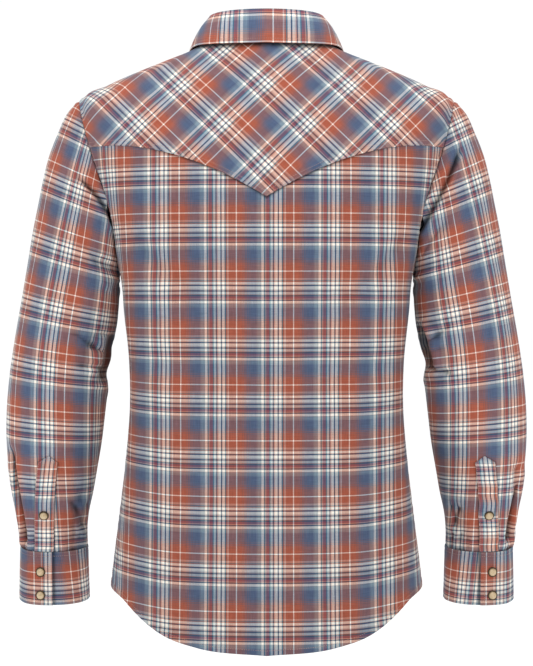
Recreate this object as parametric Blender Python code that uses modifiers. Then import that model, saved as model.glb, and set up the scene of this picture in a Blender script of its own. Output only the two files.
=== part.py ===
"""Western snap shirt, filled out as if worn, with open neck, sleeves and hem.

Metres, +Z up. The origin is the centre of the neck hole, level with the top of the shoulders. The back faces -Y,
the front +Y, and the wearer's right arm is on +X. Each piece that is cut and sewn on is a thin wall of its own,
and each snap is a metal ring with a pearl cap.
"""

import math

import bmesh
import bpy
import numpy as np
from mathutils import Vector

SHIRT = "western_snap_shirt"

# Cloth
WALL = 0.0012
SEAM_GAP = 0.0003
EDGE_TRIM = 0.0002  # what each of two pieces gives up at the seam between them
LAYER = WALL + SEAM_GAP  # how far a piece that lies on another is moved out


def table(names, rows):
    """A short table as its named columns."""
    return dict(zip(names.split(), np.array(rows, float).T))


# The body form, ring by ring from the neck seam to below the hem. A ring's level is its height at centre back.
BODY = table(
    "level half_width back_y front_y side_z front_z power",
    [
        (0.007, 0.0800, -0.0720, 0.0620, 0.0060, -0.0780, 2.0),
        (-0.015, 0.1014, -0.0840, 0.0690, -0.0045, -0.0880, 2.0),
        (-0.045, 0.1315, -0.0970, 0.0770, -0.0160, -0.1030, 2.05),
        (-0.080, 0.1704, -0.1080, 0.0870, -0.0312, -0.1230, 2.1),
        (-0.120, 0.2055, -0.1180, 0.0955, -0.0470, -0.1460, 2.15),
        (-0.165, 0.2397, -0.1250, 0.1040, -0.0680, -0.1750, 2.25),
        (-0.195, 0.2360, -0.1265, 0.1090, -0.1210, -0.2010, 2.4),
        (-0.225, 0.2195, -0.1270, 0.1130, -0.1750, -0.2280, 2.6),
        (-0.255, 0.2010, -0.1260, 0.1150, -0.2290, -0.2560, 2.8),
        (-0.285, 0.1890, -0.1230, 0.1145, -0.2850, -0.2850, 2.9),
        (-0.340, 0.1830, -0.1160, 0.1100, -0.3400, -0.3400, 3.0),
        (-0.400, 0.1768, -0.1090, 0.1040, -0.4000, -0.4000, 3.0),
        (-0.450, 0.1757, -0.1065, 0.1010, -0.4500, -0.4500, 2.9),
        (-0.530, 0.1816, -0.1100, 0.1040, -0.5300, -0.5300, 2.7),
        (-0.600, 0.1900, -0.1180, 0.1080, -0.6000, -0.6000, 2.5),
        (-0.690, 0.2010, -0.1270, 0.1125, -0.6900, -0.6900, 2.4),
        (-0.770, 0.2060, -0.1390, 0.1150, -0.7700, -0.7700, 2.3),
    ],
)
NECK_LEVEL = 0.007
ARMPIT_LEVEL = -0.285

# The armhole is an oval about the side of the body, in degrees round it and in ring levels.
ARMHOLE_LEVEL = -0.225
ARMHOLE_RISE = 0.060
ARMHOLE_BACK_REACH = 29.0
ARMHOLE_FRONT_REACH = 27.0
YOKE_CORNER = 60.0  # degrees round the armhole from the shoulder tip, on the back
SHOULDER_SEAM_ANGLE = 105.0  # degrees round the body from centre back

# The yoke's lower edge is level at the armholes and runs down to a point at centre back.
YOKE_EDGE_Z = -0.1314
YOKE_POINT_DROP = 0.0657
YOKE_HALF_WIDTH = 0.200
YOKE_POWER = 1.9

# The tails: the hem is highest at the side seams, and this is the share of the drop at each share of the width.
HEM_SIDE_Z = -0.6905
BACK_TAIL_DROP = 0.0650
FRONT_TAIL_DROP = 0.0520
HEM = table(
    "across drop",
    [(0, 1), (0.42, 0.878), (0.636, 0.677), (0.738, 0.492), (0.818, 0.31), (0.894, 0.127), (1, 0)],
)

# The front closure
BAND_HALF_WIDTH = 0.019
FRONT_EDGE_X = 0.0158  # how far from centre front the left front is sewn to the band, and the right front ends
BAND_TOP_SET = 0.0025
FRONT_SNAP_TOP_Z = -0.140
FRONT_SNAP_SPACING = 0.0885
FRONT_SNAP_COUNT = 6

# The collar
STAND_TOP = {"half_width": 0.0695, "back_y": -0.063, "front_y": 0.050}
STAND_TOP_Z = {"back": 0.0365, "side": 0.0375, "front": -0.0465}
STAND_LIFT_ANGLE = 145.0  # where its left end begins to rise over its right one
LEAF_ROLL = 0.0036
LEAF_EDGE = table(
    "fold_angle edge_angle edge_level lift",
    [
        (0, 0, -0.006, 0.0050),
        (45, 43, -0.008, 0.0045),
        (90, 88, -0.011, 0.0030),
        (120, 115, -0.024, 0.0040),
        (148, 139, -0.044, 0.0055),
        (169, 156, -0.058, 0.0060),
    ],
)
LEAF_BULGE = 0.0025

# A sleeve, ring by ring from the armhole to the cuff. A ring's level is the height of its outer side.
SLEEVE = table(
    "level outer_x inner_x inner_z depth centre_y",
    [
        (-0.0680, 0.2397, 0.1890, -0.2850, 0.0600, 0.000),
        (-0.0800, 0.2525, 0.1900, -0.2900, 0.0630, 0.000),
        (-0.1080, 0.2682, 0.1905, -0.2950, 0.0665, 0.000),
        (-0.1363, 0.2796, 0.1908, -0.3000, 0.0685, 0.000),
        (-0.1674, 0.2876, 0.1908, -0.3060, 0.0690, 0.000),
        (-0.1986, 0.2940, 0.1908, -0.3135, 0.0685, 0.000),
        (-0.2297, 0.3004, 0.1912, -0.3220, 0.0675, 0.000),
        (-0.2765, 0.3082, 0.1920, -0.3360, 0.0660, -0.001),
        (-0.3232, 0.3160, 0.1943, -0.3580, 0.0645, -0.003),
        (-0.3699, 0.3240, 0.2015, -0.3920, 0.0620, -0.005),
        (-0.4166, 0.3312, 0.2050, -0.4320, 0.0595, -0.005),
        (-0.4634, 0.3360, 0.2094, -0.4700, 0.0570, -0.002),
        (-0.5101, 0.3375, 0.2152, -0.5120, 0.0535, 0.005),
        (-0.5412, 0.3358, 0.2208, -0.5420, 0.0505, 0.010),
        (-0.5724, 0.3328, 0.2268, -0.5730, 0.0465, 0.017),
        (-0.6036, 0.3274, 0.2338, -0.6040, 0.0405, 0.023),
        (-0.6347, 0.3240, 0.2366, -0.6350, 0.0355, 0.028),
        (-0.6470, 0.3246, 0.2363, -0.6470, 0.0345, 0.030),
    ],
)
SLEEVE_CAP_LEVEL = -0.150  # below it the sleeve has left the armhole's shape
SLEEVE_POWER = 2.15
SLEEVE_FACING = -1  # degrees run from the outer side to the back, the other way from those round the body
TILT_LEVELS = (0.43, 0.58)  # how far down the tilt begins and is whole
WRIST_TILT = 0.10  # the forearm hangs forwards, so the rings near the wrist are lower at the back by this slope

# A sleeve's largest folds, each a straight line in degrees round the sleeve (0 outer, 90 back) and ring levels.
# A minus depth is a trough.
FOLD_COLUMNS = "angle level end_angle end_level width depth"
SLEEVE_FOLDS = {
    "left": table(
        FOLD_COLUMNS,
        [
            (158, -0.075, 122, -0.165, 0.016, -0.0050),
            (176, -0.085, 138, -0.210, 0.014, 0.0035),
            (162, -0.375, 112, -0.350, 0.010, -0.0045),
            (166, -0.415, 128, -0.425, 0.014, 0.0030),
            (36, -0.520, 28, -0.647, 0.009, -0.0055),
            (14, -0.540, 12, -0.647, 0.010, 0.0030),
            (140, -0.575, 134, -0.647, 0.009, -0.0040),
        ],
    ),
    "right": table(
        FOLD_COLUMNS,
        [
            (160, -0.070, 104, -0.120, 0.016, -0.0060),
            (178, -0.085, 132, -0.190, 0.014, 0.0040),
            (168, -0.365, 120, -0.335, 0.010, -0.0045),
            (164, -0.365, 138, -0.362, 0.013, 0.0030),
            (40, -0.540, 28, -0.647, 0.009, -0.0065),
            (14, -0.550, 12, -0.647, 0.010, 0.0035),
            (134, -0.590, 130, -0.647, 0.009, -0.0040),
        ],
    ),
}

# The cuff and the sleeve placket
CUFF_TOP_Z = -0.647
CUFF_BOTTOM_Z = -0.7165
CUFF = table("level outer_x inner_x depth", [(-0.7165, 0.3262, 0.2342, 0.0345), (-0.647, 0.3246, 0.2363, 0.0345)])
CUFF_CENTRE_Y = 0.030
CUFF_END_ANGLE = 93.0  # where the upper end of the cuff stops, on the back
CUFF_LAP_ANGLE = 36.0
CUFF_SNAP_ANGLE = 74.0
CUFF_SNAP_Z = (-0.673, -0.7033)
PLACKET_WIDTH = 0.025
PLACKET_POINT = {"angle": 90.0, "level": -0.5206}
PLACKET_FOOT = {"angle": 79.0, "level": -0.6458}
PLACKET_SHOULDER = 0.0085  # how far its corners lie below its point
PLACKET_SNAP_LEVEL = -0.595
PLACKET_LIFT = LAYER + 0.0004

# A snap
SNAP_RADIUS = 0.0060
SNAP_HEIGHT = 0.0022
CAP_RADIUS = 0.0045
CAP_HEIGHT = 0.0030
SNAP_SIDES = 10

# How finely the cloth is divided
BACK_COLUMNS = 16
FRONT_COLUMNS = 9
BODY_ROWS = 12
ROW_SAG = 0.035  # how far the rows dip inwards of the armpit, which squares them to the armhole
YOKE_ROWS = 6
ARMHOLE_STEPS = {"yoke_back": 4, "back": 6, "front": 6, "yoke_front": 3}
SLEEVE_CAP_ROWS = (0, 0.07, 0.3, 0.6)  # shares of the way down the sleeve's head
SLEEVE_ROWS = 21  # below the head
CUFF_COLUMNS = 33
CUFF_ROWS = 2
PLACKET_COLUMNS = 4
PLACKET_ROWS = 8
STAND_ROWS = 2
LEAF_ROLL_STEPS = 3
LEAF_FALL_STEPS = 4

CLOTH_COLOUR = (0.36, 0.20, 0.16, 1.0)
BAND_COLOUR = (0.30, 0.21, 0.19, 1.0)
BRASS_COLOUR = (0.16, 0.12, 0.08, 1.0)
PEARL_COLOUR = (0.62, 0.52, 0.38, 1.0)


def smooth(keys, values, wanted):
    """The smooth curve through a table's rows, read at the wanted keys."""
    order = np.argsort(keys)
    keys, values = keys[order], values[order]
    step = np.diff(keys)
    slope = np.diff(values) / step
    tangent = np.empty_like(values)
    tangent[0], tangent[-1] = slope[0], slope[-1]
    tangent[1:-1] = (slope[:-1] * step[1:] + slope[1:] * step[:-1]) / (step[:-1] + step[1:])
    wanted = np.clip(wanted, keys[0], keys[-1])
    row = np.clip(np.searchsorted(keys, wanted) - 1, 0, len(keys) - 2)
    share = (wanted - keys[row]) / step[row]
    ease = share * share * (3 - 2 * share)
    leaving = share * (1 - share) ** 2 * tangent[row]
    arriving = share**2 * (1 - share) * tangent[row + 1]
    return values[row] + (values[row + 1] - values[row]) * ease + (leaving - arriving) * step[row]


def ease_in(value, start, end):
    """0 before start, 1 after end, and smooth between."""
    share = np.clip((value - start) / (end - start), 0, 1)
    return share * share * (3 - 2 * share)


def read(rows, key, wanted):
    """Every column of a table at the wanted keys."""
    return {name: smooth(rows[key], column, wanted) for name, column in rows.items() if name != key}


def oval(angle, power):
    """How far across and how far back a rounded box of half sizes 1 reaches at an angle in degrees."""
    across, along = np.sin(np.radians(angle)), np.cos(np.radians(angle))
    size = (np.abs(across) ** power + np.abs(along) ** power) ** (1 / power)
    return across / size, along / size


def body(angle, level):
    """The body form's outer surface, at degrees round it from centre back and at a ring's level."""
    angle, level = np.broadcast_arrays(np.asarray(angle, float), np.asarray(level, float))
    ring = read(BODY, "level", level)
    across, along = oval(angle, ring["power"])
    middle_z = np.where(along >= 0, level, ring["front_z"])
    depth = np.where(along >= 0, -ring["back_y"], ring["front_y"])
    z = ring["side_z"] + (middle_z - ring["side_z"]) * np.cos(np.radians(angle)) ** 2
    return np.stack([ring["half_width"] * across, -depth * along, z], -1)


def outward(surface, angle, level, facing=1, step=0.05):
    """The unit normal of a surface given as a function of degrees and level. Facing is -1 round a sleeve or cuff."""
    round_it = surface(angle + step, level) - surface(angle - step, level)
    metres = step / 100
    down_it = surface(angle, level - metres) - surface(angle, level + metres)
    normal = np.cross(down_it, round_it) * facing
    return normal / np.linalg.norm(normal, axis=-1, keepdims=True)


def moved_out(surface, angle, level, distance, facing=1):
    return surface(angle, level) + outward(surface, angle, level, facing) * distance


def solved(function, low, high):
    """Where a rising function of one array crosses zero."""
    for _ in range(40):
        middle = (low + high) / 2
        above = function(middle) > 0
        low, high = np.where(above, low, middle), np.where(above, middle, high)
    return (low + high) / 2


def armhole_level(turn):
    """The ring level at degrees round the armhole from the shoulder tip."""
    return ARMHOLE_LEVEL + ARMHOLE_RISE * np.cos(np.radians(turn))


def armhole_angle(turn):
    """Degrees round the body at degrees round the armhole, which runs down the back and up the front."""
    across = np.sin(np.radians(turn))
    return 90 - across * np.where(across > 0, ARMHOLE_BACK_REACH, ARMHOLE_FRONT_REACH)


def side_angle(level, reach):
    """How far round the body a panel reaches: to the side seam, and above it to the armhole."""
    height = np.clip((level - ARMHOLE_LEVEL) / ARMHOLE_RISE, -1, 1)
    return 90 - reach * np.sqrt(1 - height**2)


SHOULDER_CORNER = math.degrees(math.asin((SHOULDER_SEAM_ANGLE - 90) / ARMHOLE_FRONT_REACH))


def stations(*stops):
    """Evenly spaced stations between stops, given as stop, count, stop, count, stop."""
    spans = zip(stops[::2], stops[1::2], stops[2::2])
    runs = [np.linspace(a, b, int(count), endpoint=False) for a, count, b in spans]
    return np.concatenate([*runs, [stops[-1]]])


YOKE_BACK_TURNS = stations(YOKE_CORNER, ARMHOLE_STEPS["yoke_back"], 0)
YOKE_FRONT_TURNS = stations(0, ARMHOLE_STEPS["yoke_front"], SHOULDER_CORNER)
BACK_TURNS = stations(180, ARMHOLE_STEPS["back"], YOKE_CORNER)
FRONT_TURNS = stations(180, ARMHOLE_STEPS["front"], SHOULDER_CORNER)
SLEEVE_TURNS = np.concatenate([
    YOKE_BACK_TURNS[::-1], BACK_TURNS[::-1][1:], (360 - FRONT_TURNS)[1:], (360 - YOKE_FRONT_TURNS[::-1])[1:],
])


def yoke_edge_z(x):
    inward = np.clip(1 - np.abs(x) / YOKE_HALF_WIDTH, 0, 1)
    return YOKE_EDGE_Z - YOKE_POINT_DROP * inward**YOKE_POWER


def hem_level(angle, tail_drop):
    """The height of the hem at degrees round the body."""
    def above_hem(level):
        point = body(angle, level)
        half_width = read(BODY, "level", level)["half_width"]
        share = smooth(HEM["across"], HEM["drop"], np.abs(point[..., 0]) / half_width)
        return point[..., 2] - (HEM_SIDE_Z - tail_drop * share)

    return solved(above_hem, np.full_like(angle, -0.77), np.full_like(angle, -0.60))


def trimmed(grid, around=False):
    """Draws each open edge of a grid of points in by the seam's trim."""
    out = grid.copy()
    sides = [(0, 1), (-1, -2)]
    for edge, inner in sides:
        step = grid[inner] - grid[edge]
        out[edge] += step / np.linalg.norm(step, axis=-1, keepdims=True) * EDGE_TRIM
    for edge, inner in [] if around else sides:
        step = grid[:, inner] - grid[:, edge]
        out[:, edge] += step / np.linalg.norm(step, axis=-1, keepdims=True) * EDGE_TRIM
    return out


# ---------------------------------------------------------------- panels of the body, as grids of outer points


def body_rows(bottom, top, armhole_turns, across):
    """Ring levels from the hem to the armpit, and on up beside the armhole to the top. At the side across is 1."""
    corner = ARMPIT_LEVEL - ROW_SAG * (1 - across**4)
    below = np.linspace(0, 1, BODY_ROWS, endpoint=False)[:, None]
    rise = armhole_level(armhole_turns)
    share = ((rise - rise[0]) / (rise[-1] - rise[0]))[:, None]
    return np.concatenate([bottom + (corner - bottom) * below, corner + (top - corner) * share])


def back_grid():
    """The back panel, and the angles at which its columns meet the yoke."""
    across = np.linspace(-1, 1, BACK_COLUMNS + 1)
    seam_angles = across * armhole_angle(YOKE_CORNER)

    def above_yoke_edge(level):
        point = body(seam_angles, level)
        return point[:, 2] - yoke_edge_z(point[:, 0])

    top = solved(above_yoke_edge, np.full_like(across, ARMHOLE_LEVEL), np.full_like(across, NECK_LEVEL))
    top[[0, -1]] = armhole_level(YOKE_CORNER)
    levels = body_rows(hem_level(across * 90, BACK_TAIL_DROP), top, BACK_TURNS, across)
    angles = across * side_angle(levels[:, :1], ARMHOLE_BACK_REACH)
    return body(angles, levels), seam_angles, top


def yoke_grid(seam_angles, seam_levels):
    """The yoke, from the back's upper edge and the armholes up and over to the shoulder seams and the neck."""
    turns = np.concatenate([YOKE_BACK_TURNS[1:], -YOKE_FRONT_TURNS[1:]])
    over_angles, over_levels = armhole_angle(turns), armhole_level(turns)
    angles = np.concatenate([-over_angles[::-1], seam_angles, over_angles])
    outer = np.concatenate([over_levels[::-1], seam_levels, over_levels])
    share = np.linspace(0, 1, YOKE_ROWS + 1)[:, None]
    levels = outer + (NECK_LEVEL - outer) * share
    return body(np.broadcast_to(angles, levels.shape), levels), angles


def front_angle(level, x):
    """Degrees round the body of the line at that x down the front."""
    return 180 - np.degrees(np.arcsin(x / read(BODY, "level", level)["half_width"]))


def front_grid(laps):
    """A front on the +X side. It ends FRONT_EDGE_X from centre front: short of it, or past it where it laps."""
    columns = np.linspace(0, 1, FRONT_COLUMNS + 1)
    past = [0.0, -FRONT_EDGE_X] if laps else []
    edge_at_hem = front_angle(HEM_SIDE_Z, FRONT_EDGE_X)
    hem_angles = np.concatenate([90 + (edge_at_hem - 90) * columns, front_angle(HEM_SIDE_Z, np.array(past))])
    hem = hem_level(hem_angles, FRONT_TAIL_DROP)
    corner = armhole_level(SHOULDER_CORNER)
    inward = np.concatenate([columns, np.ones(len(past))])
    lower = body_rows(hem, np.full_like(hem, corner), FRONT_TURNS, 1 - inward)
    climb = np.linspace(0, 1, YOKE_ROWS + 1)[1:, None]
    levels = np.concatenate([lower, corner + (NECK_LEVEL - corner) * climb + 0 * hem])
    across = levels[:, : len(columns)]
    edge = levels[:, :1]
    side = np.where(edge < corner, 180 - side_angle(edge, ARMHOLE_FRONT_REACH), SHOULDER_SEAM_ANGLE)
    angles = side + (front_angle(across, FRONT_EDGE_X) - side) * columns
    angles = np.concatenate([angles, front_angle(levels[:, len(columns):], np.array(past))], 1)
    return body(angles, levels), angles, levels


def band_grid(front_levels):
    """The front band, which lies on both fronts and has their rows."""
    levels = np.append(front_levels[:-1], NECK_LEVEL - BAND_TOP_SET)[:, None]
    x = np.array([BAND_HALF_WIDTH, FRONT_EDGE_X, 0, -FRONT_EDGE_X, -BAND_HALF_WIDTH])
    return moved_out(body, front_angle(levels + 0 * x, x), levels + 0 * x, LAYER)


# ---------------------------------------------------------------- collar


def stand_top(angle):
    across, along = np.sin(np.radians(angle)), np.cos(np.radians(angle))
    depth = np.where(along >= 0, -STAND_TOP["back_y"], STAND_TOP["front_y"])
    middle_z = np.where(along >= 0, STAND_TOP_Z["back"], STAND_TOP_Z["front"])
    z = STAND_TOP_Z["side"] + (middle_z - STAND_TOP_Z["side"]) * along**2
    return np.stack([STAND_TOP["half_width"] * across, -depth * along, z], -1)


def stand_directions(angle):
    """The directions square to the stand, away from the neck, and square to its top edge, upwards."""
    along = stand_top(angle + 0.05) - stand_top(angle - 0.05)
    up = stand_top(angle) - body(angle, NECK_LEVEL)
    face = np.cross(along, up)
    rise = np.cross(face, along)
    return tuple(d / np.linalg.norm(d, axis=-1, keepdims=True) for d in (face, rise))


def stand_grid(neck_angles):
    """The stand, whose left end laps over its right one at centre front."""
    edge = neck_angles[-1]
    angles = np.concatenate([[edge - 360, -180], neck_angles, [180, 360 - edge]])
    lift = LAYER * ease_in(-angles, STAND_LIFT_ANGLE, edge)
    foot, top = body(angles, NECK_LEVEL), stand_top(angles)
    share = np.linspace(0, 1, STAND_ROWS + 1)[:, None, None]
    return foot + (top - foot) * share + stand_directions(angles)[0] * lift[:, None]


def leaf_grid(neck_angles):
    """The leaf: it rolls over the top of the stand, and falls to its lower edge and its two points."""
    side = np.abs(neck_angles)
    edge = read(LEAF_EDGE, "fold_angle", side)
    lower_angles = np.sign(neck_angles) * edge["edge_angle"]
    lower = moved_out(body, lower_angles, edge["edge_level"], edge["lift"][:, None])
    fold = stand_top(neck_angles)
    face, up = stand_directions(neck_angles)
    rows = []
    for turn in np.linspace(180, 0, LEAF_ROLL_STEPS + 1):
        across = LEAF_ROLL * (1 + math.cos(math.radians(turn))) - WALL
        rise = 2 * SEAM_GAP + LEAF_ROLL * math.sin(math.radians(turn))
        rows.append(fold + face * across + up * rise)
    outer = rows[-1]
    for share in np.linspace(0, 1, LEAF_FALL_STEPS + 1)[1:]:
        bulge = LEAF_BULGE * math.sin(math.pi * share)
        rows.append(outer + (lower - outer) * share + (face + up) * bulge)
    return np.array(rows)


# ---------------------------------------------------------------- sleeves


def fold_height(folds, angle, level):
    """How far the sleeve's folds raise its surface."""
    ring = read(SLEEVE, "level", level)
    reach = np.hypot(ring["outer_x"] - ring["inner_x"], level - ring["inner_z"]) / 2
    height = np.zeros(np.broadcast(angle, level).shape)
    for row in zip(*folds.values()):
        start_angle, start, end_angle, end, width, depth = row
        along = np.clip((level - start) / (end - start), 0, 1)
        nearest_angle = start_angle + (end_angle - start_angle) * along
        nearest = start + (end - start) * along
        aside = (angle - nearest_angle) * math.pi / 180 * reach
        distance = np.hypot(aside, level - nearest)
        height += depth * np.exp(-((distance / width) ** 2))
    return height


def sleeve_ring(across, back, level):
    """A point of a plain ring: across is 1 at its outer side and -1 at its inner side, and back is 1 at the back."""
    ring = read(SLEEVE, "level", level)
    outer = np.stack([ring["outer_x"], ring["centre_y"], level], -1)
    inner = np.stack([ring["inner_x"], ring["centre_y"], ring["inner_z"]], -1)
    point = (outer + inner) / 2 + (outer - inner) / 2 * across[..., None]
    point[..., 1] -= ring["depth"] * back
    point[..., 2] -= ring["depth"] * back * WRIST_TILT * ease_in(-level, *TILT_LEVELS)
    return point


def sleeve_of(folds):
    """The outer surface of the +X sleeve with these folds, at degrees round it and at a ring's level."""
    def surface(angle, level):
        angle, level = np.broadcast_arrays(np.asarray(angle, float), np.asarray(level, float))
        across, back = oval(90 - angle, SLEEVE_POWER)
        first = SLEEVE["level"][0]
        armhole = body(armhole_angle(angle), armhole_level(angle))
        misfit = armhole - sleeve_ring(across, back, np.full_like(level, first))
        free = ease_in(-level, -first, -SLEEVE_CAP_LEVEL)[..., None]
        away = np.stack([across, -back, 0 * across], -1)
        raised = fold_height(folds, angle, level)[..., None]
        return sleeve_ring(across, back, level) + misfit * (1 - free) + away * raised * free

    return surface


def sleeve_grid(surface):
    first, last = SLEEVE["level"][0], SLEEVE["level"][-1]
    cap = first + (SLEEVE_CAP_LEVEL - first) * np.array(SLEEVE_CAP_ROWS)
    levels = np.concatenate([cap, np.linspace(SLEEVE_CAP_LEVEL, last, SLEEVE_ROWS)])[:, None]
    turns = np.append(SLEEVE_TURNS[:-1], 360.0)
    return surface(turns + 0 * levels, levels + 0 * turns)


def cuff_surface(angle, level):
    angle, level = np.broadcast_arrays(np.asarray(angle, float), np.asarray(level, float))
    ring = {name: np.interp(level, CUFF["level"], CUFF[name]) for name in ("outer_x", "inner_x", "depth")}
    across, back = oval(90 - angle, SLEEVE_POWER)
    x = (ring["outer_x"] + ring["inner_x"]) / 2 + (ring["outer_x"] - ring["inner_x"]) / 2 * across
    back_by = ring["depth"] * back
    return np.stack([x, CUFF_CENTRE_Y - back_by, level - WRIST_TILT * back_by], -1)


def cuff_lift(angle):
    """The cuff's upper end starts on the back, and comes down to the under layer on its way round the outer side."""
    return LAYER * ease_in(angle, CUFF_END_ANGLE - 2 * CUFF_LAP_ANGLE, CUFF_END_ANGLE - CUFF_LAP_ANGLE)


def cuff_grid():
    angles = np.linspace(CUFF_END_ANGLE, CUFF_END_ANGLE - 360 - CUFF_LAP_ANGLE, CUFF_COLUMNS + 1)
    levels = np.linspace(CUFF_BOTTOM_Z, CUFF_TOP_Z, CUFF_ROWS + 1)[:, None]
    lift = cuff_lift(angles)[None, :, None]
    return moved_out(cuff_surface, angles + 0 * levels, levels + 0 * angles, lift, SLEEVE_FACING)


def placket_grid(surface):
    """The pointed strip down the back of the sleeve to the cuff."""
    across = np.linspace(1, -1, PLACKET_COLUMNS + 1)
    top = PLACKET_POINT["level"] - PLACKET_SHOULDER * np.abs(across)
    share = np.linspace(0, 1, PLACKET_ROWS + 1)[:, None]
    levels = PLACKET_FOOT["level"] + (top - PLACKET_FOOT["level"]) * share
    run = (levels - PLACKET_FOOT["level"]) / (PLACKET_POINT["level"] - PLACKET_FOOT["level"])
    middle = PLACKET_FOOT["angle"] + (PLACKET_POINT["angle"] - PLACKET_FOOT["angle"]) * run
    degree = np.linalg.norm(surface(middle + 0.5, levels) - surface(middle - 0.5, levels), axis=-1)
    angles = middle + across * PLACKET_WIDTH / 2 / degree
    return moved_out(surface, angles, levels, PLACKET_LIFT, SLEEVE_FACING)


# ---------------------------------------------------------------- making the objects


def material(name, colour, roughness, metallic=0.0):
    made = bpy.data.materials.new(name)
    made.use_nodes = True
    shader = made.node_tree.nodes["Principled BSDF"]
    shader.inputs["Base Color"].default_value = colour
    shader.inputs["Roughness"].default_value = roughness
    shader.inputs["Metallic"].default_value = metallic
    return made


def cloth(name, grid, finish, collection, mirrored=False, around=False):
    """A wall of cloth whose outer face goes through a grid of points."""
    rows, columns = grid.shape[:2]
    points = trimmed(grid, around).reshape(-1, 3)
    if mirrored:
        points = points * (-1, 1, 1)
    shape = bmesh.new()
    bmesh.ops.create_grid(shape, x_segments=columns - 1, y_segments=rows - 1, size=1)
    shape.verts.ensure_lookup_table()
    for vertex, point in zip(shape.verts, points):
        vertex.co = point
    if around:
        bmesh.ops.remove_doubles(shape, verts=shape.verts, dist=1e-6)
    if mirrored:
        bmesh.ops.reverse_faces(shape, faces=shape.faces)
    mesh = bpy.data.meshes.new(name)
    shape.to_mesh(mesh)
    shape.free()
    mesh.shade_smooth()
    mesh.materials.append(finish)
    made = bpy.data.objects.new(name, mesh)
    collection.objects.link(made)
    wall = made.modifiers.new("wall", "SOLIDIFY")
    wall.thickness = WALL
    wall.offset = -1
    wall.use_even_offset = True
    return made


def turned(name, profile, finish, collection, place, normal):
    """A profile of radius and height, turned about the normal at its place."""
    mesh = bpy.data.meshes.new(name)
    points = [(radius, 0, height) for radius, height in profile]
    mesh.from_pydata(points, [(i, i + 1) for i in range(len(points) - 1)], [])
    mesh.materials.append(finish)
    made = bpy.data.objects.new(name, mesh)
    collection.objects.link(made)
    made.location = place
    made.rotation_euler = Vector(normal).to_track_quat("Z", "Y").to_euler()
    turn = made.modifiers.new("turn", "SCREW")
    turn.steps = turn.render_steps = SNAP_SIDES
    turn.use_merge_vertices = True
    turn.merge_threshold = 0.00001
    return made


def snap(name, place, normal, finishes, collection):
    """A metal ring on the cloth and a pearl cap inside it."""
    seat = place + normal * SEAM_GAP
    hole = CAP_RADIUS + SEAM_GAP
    ring = [
        (hole, SNAP_HEIGHT),
        (hole + 0.0008, SNAP_HEIGHT),
        (SNAP_RADIUS, SNAP_HEIGHT * 0.45),
        (SNAP_RADIUS, 0),
        (hole, 0),
        (hole, SNAP_HEIGHT),
    ]
    cap = [
        (0, CAP_HEIGHT),
        (CAP_RADIUS * 0.6, CAP_HEIGHT * 0.9),
        (CAP_RADIUS, CAP_HEIGHT * 0.55),
        (CAP_RADIUS, 0),
        (0, 0),
    ]
    turned(name + "_ring", ring, finishes["brass"], collection, seat, normal)
    turned(name + "_cap", cap, finishes["pearl"], collection, seat, normal)


def flipped(vector, mirrored):
    return vector * (-1, 1, 1) if mirrored else vector


def make_body(finishes, collection):
    """Back, yoke, fronts and band. Gives the angles of the neck seam's stations."""
    back, seam_angles, seam_levels = back_grid()
    cloth("back", back, finishes["cloth"], collection)
    yoke, yoke_angles = yoke_grid(seam_angles, seam_levels)
    cloth("back_yoke", yoke, finishes["cloth"], collection)
    right, front_angles, front_levels = front_grid(laps=True)
    cloth("front_right", right, finishes["cloth"], collection)
    left, _, _ = front_grid(laps=False)
    cloth("front_left", left, finishes["cloth"], collection, mirrored=True)
    cloth("front_band", band_grid(front_levels[:, -2]), finishes["band"], collection)
    front_neck = front_angles[-1, 1:FRONT_COLUMNS + 1]
    return np.concatenate([-front_neck[::-1], yoke_angles, front_neck])


def make_collar(neck_angles, finishes, collection):
    cloth("collar_stand", stand_grid(neck_angles), finishes["cloth"], collection)
    cloth("collar_leaf", leaf_grid(neck_angles)[::-1], finishes["cloth"], collection)
    foot, top = body(180.0, NECK_LEVEL), stand_top(180.0)
    face = stand_directions(180.0)[0]
    snap("snap_collar", (foot + top) / 2 + face * LAYER, face, finishes, collection)


def make_front_snaps(finishes, collection):
    for count in range(FRONT_SNAP_COUNT):
        height = FRONT_SNAP_TOP_Z - count * FRONT_SNAP_SPACING
        level = solved(lambda at: body(180.0, at)[2] - height, -0.77, NECK_LEVEL)
        normal = outward(body, 180.0, level)
        place = body(180.0, level) + normal * LAYER
        snap(f"snap_front_{count + 1}", place, normal, finishes, collection)


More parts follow.
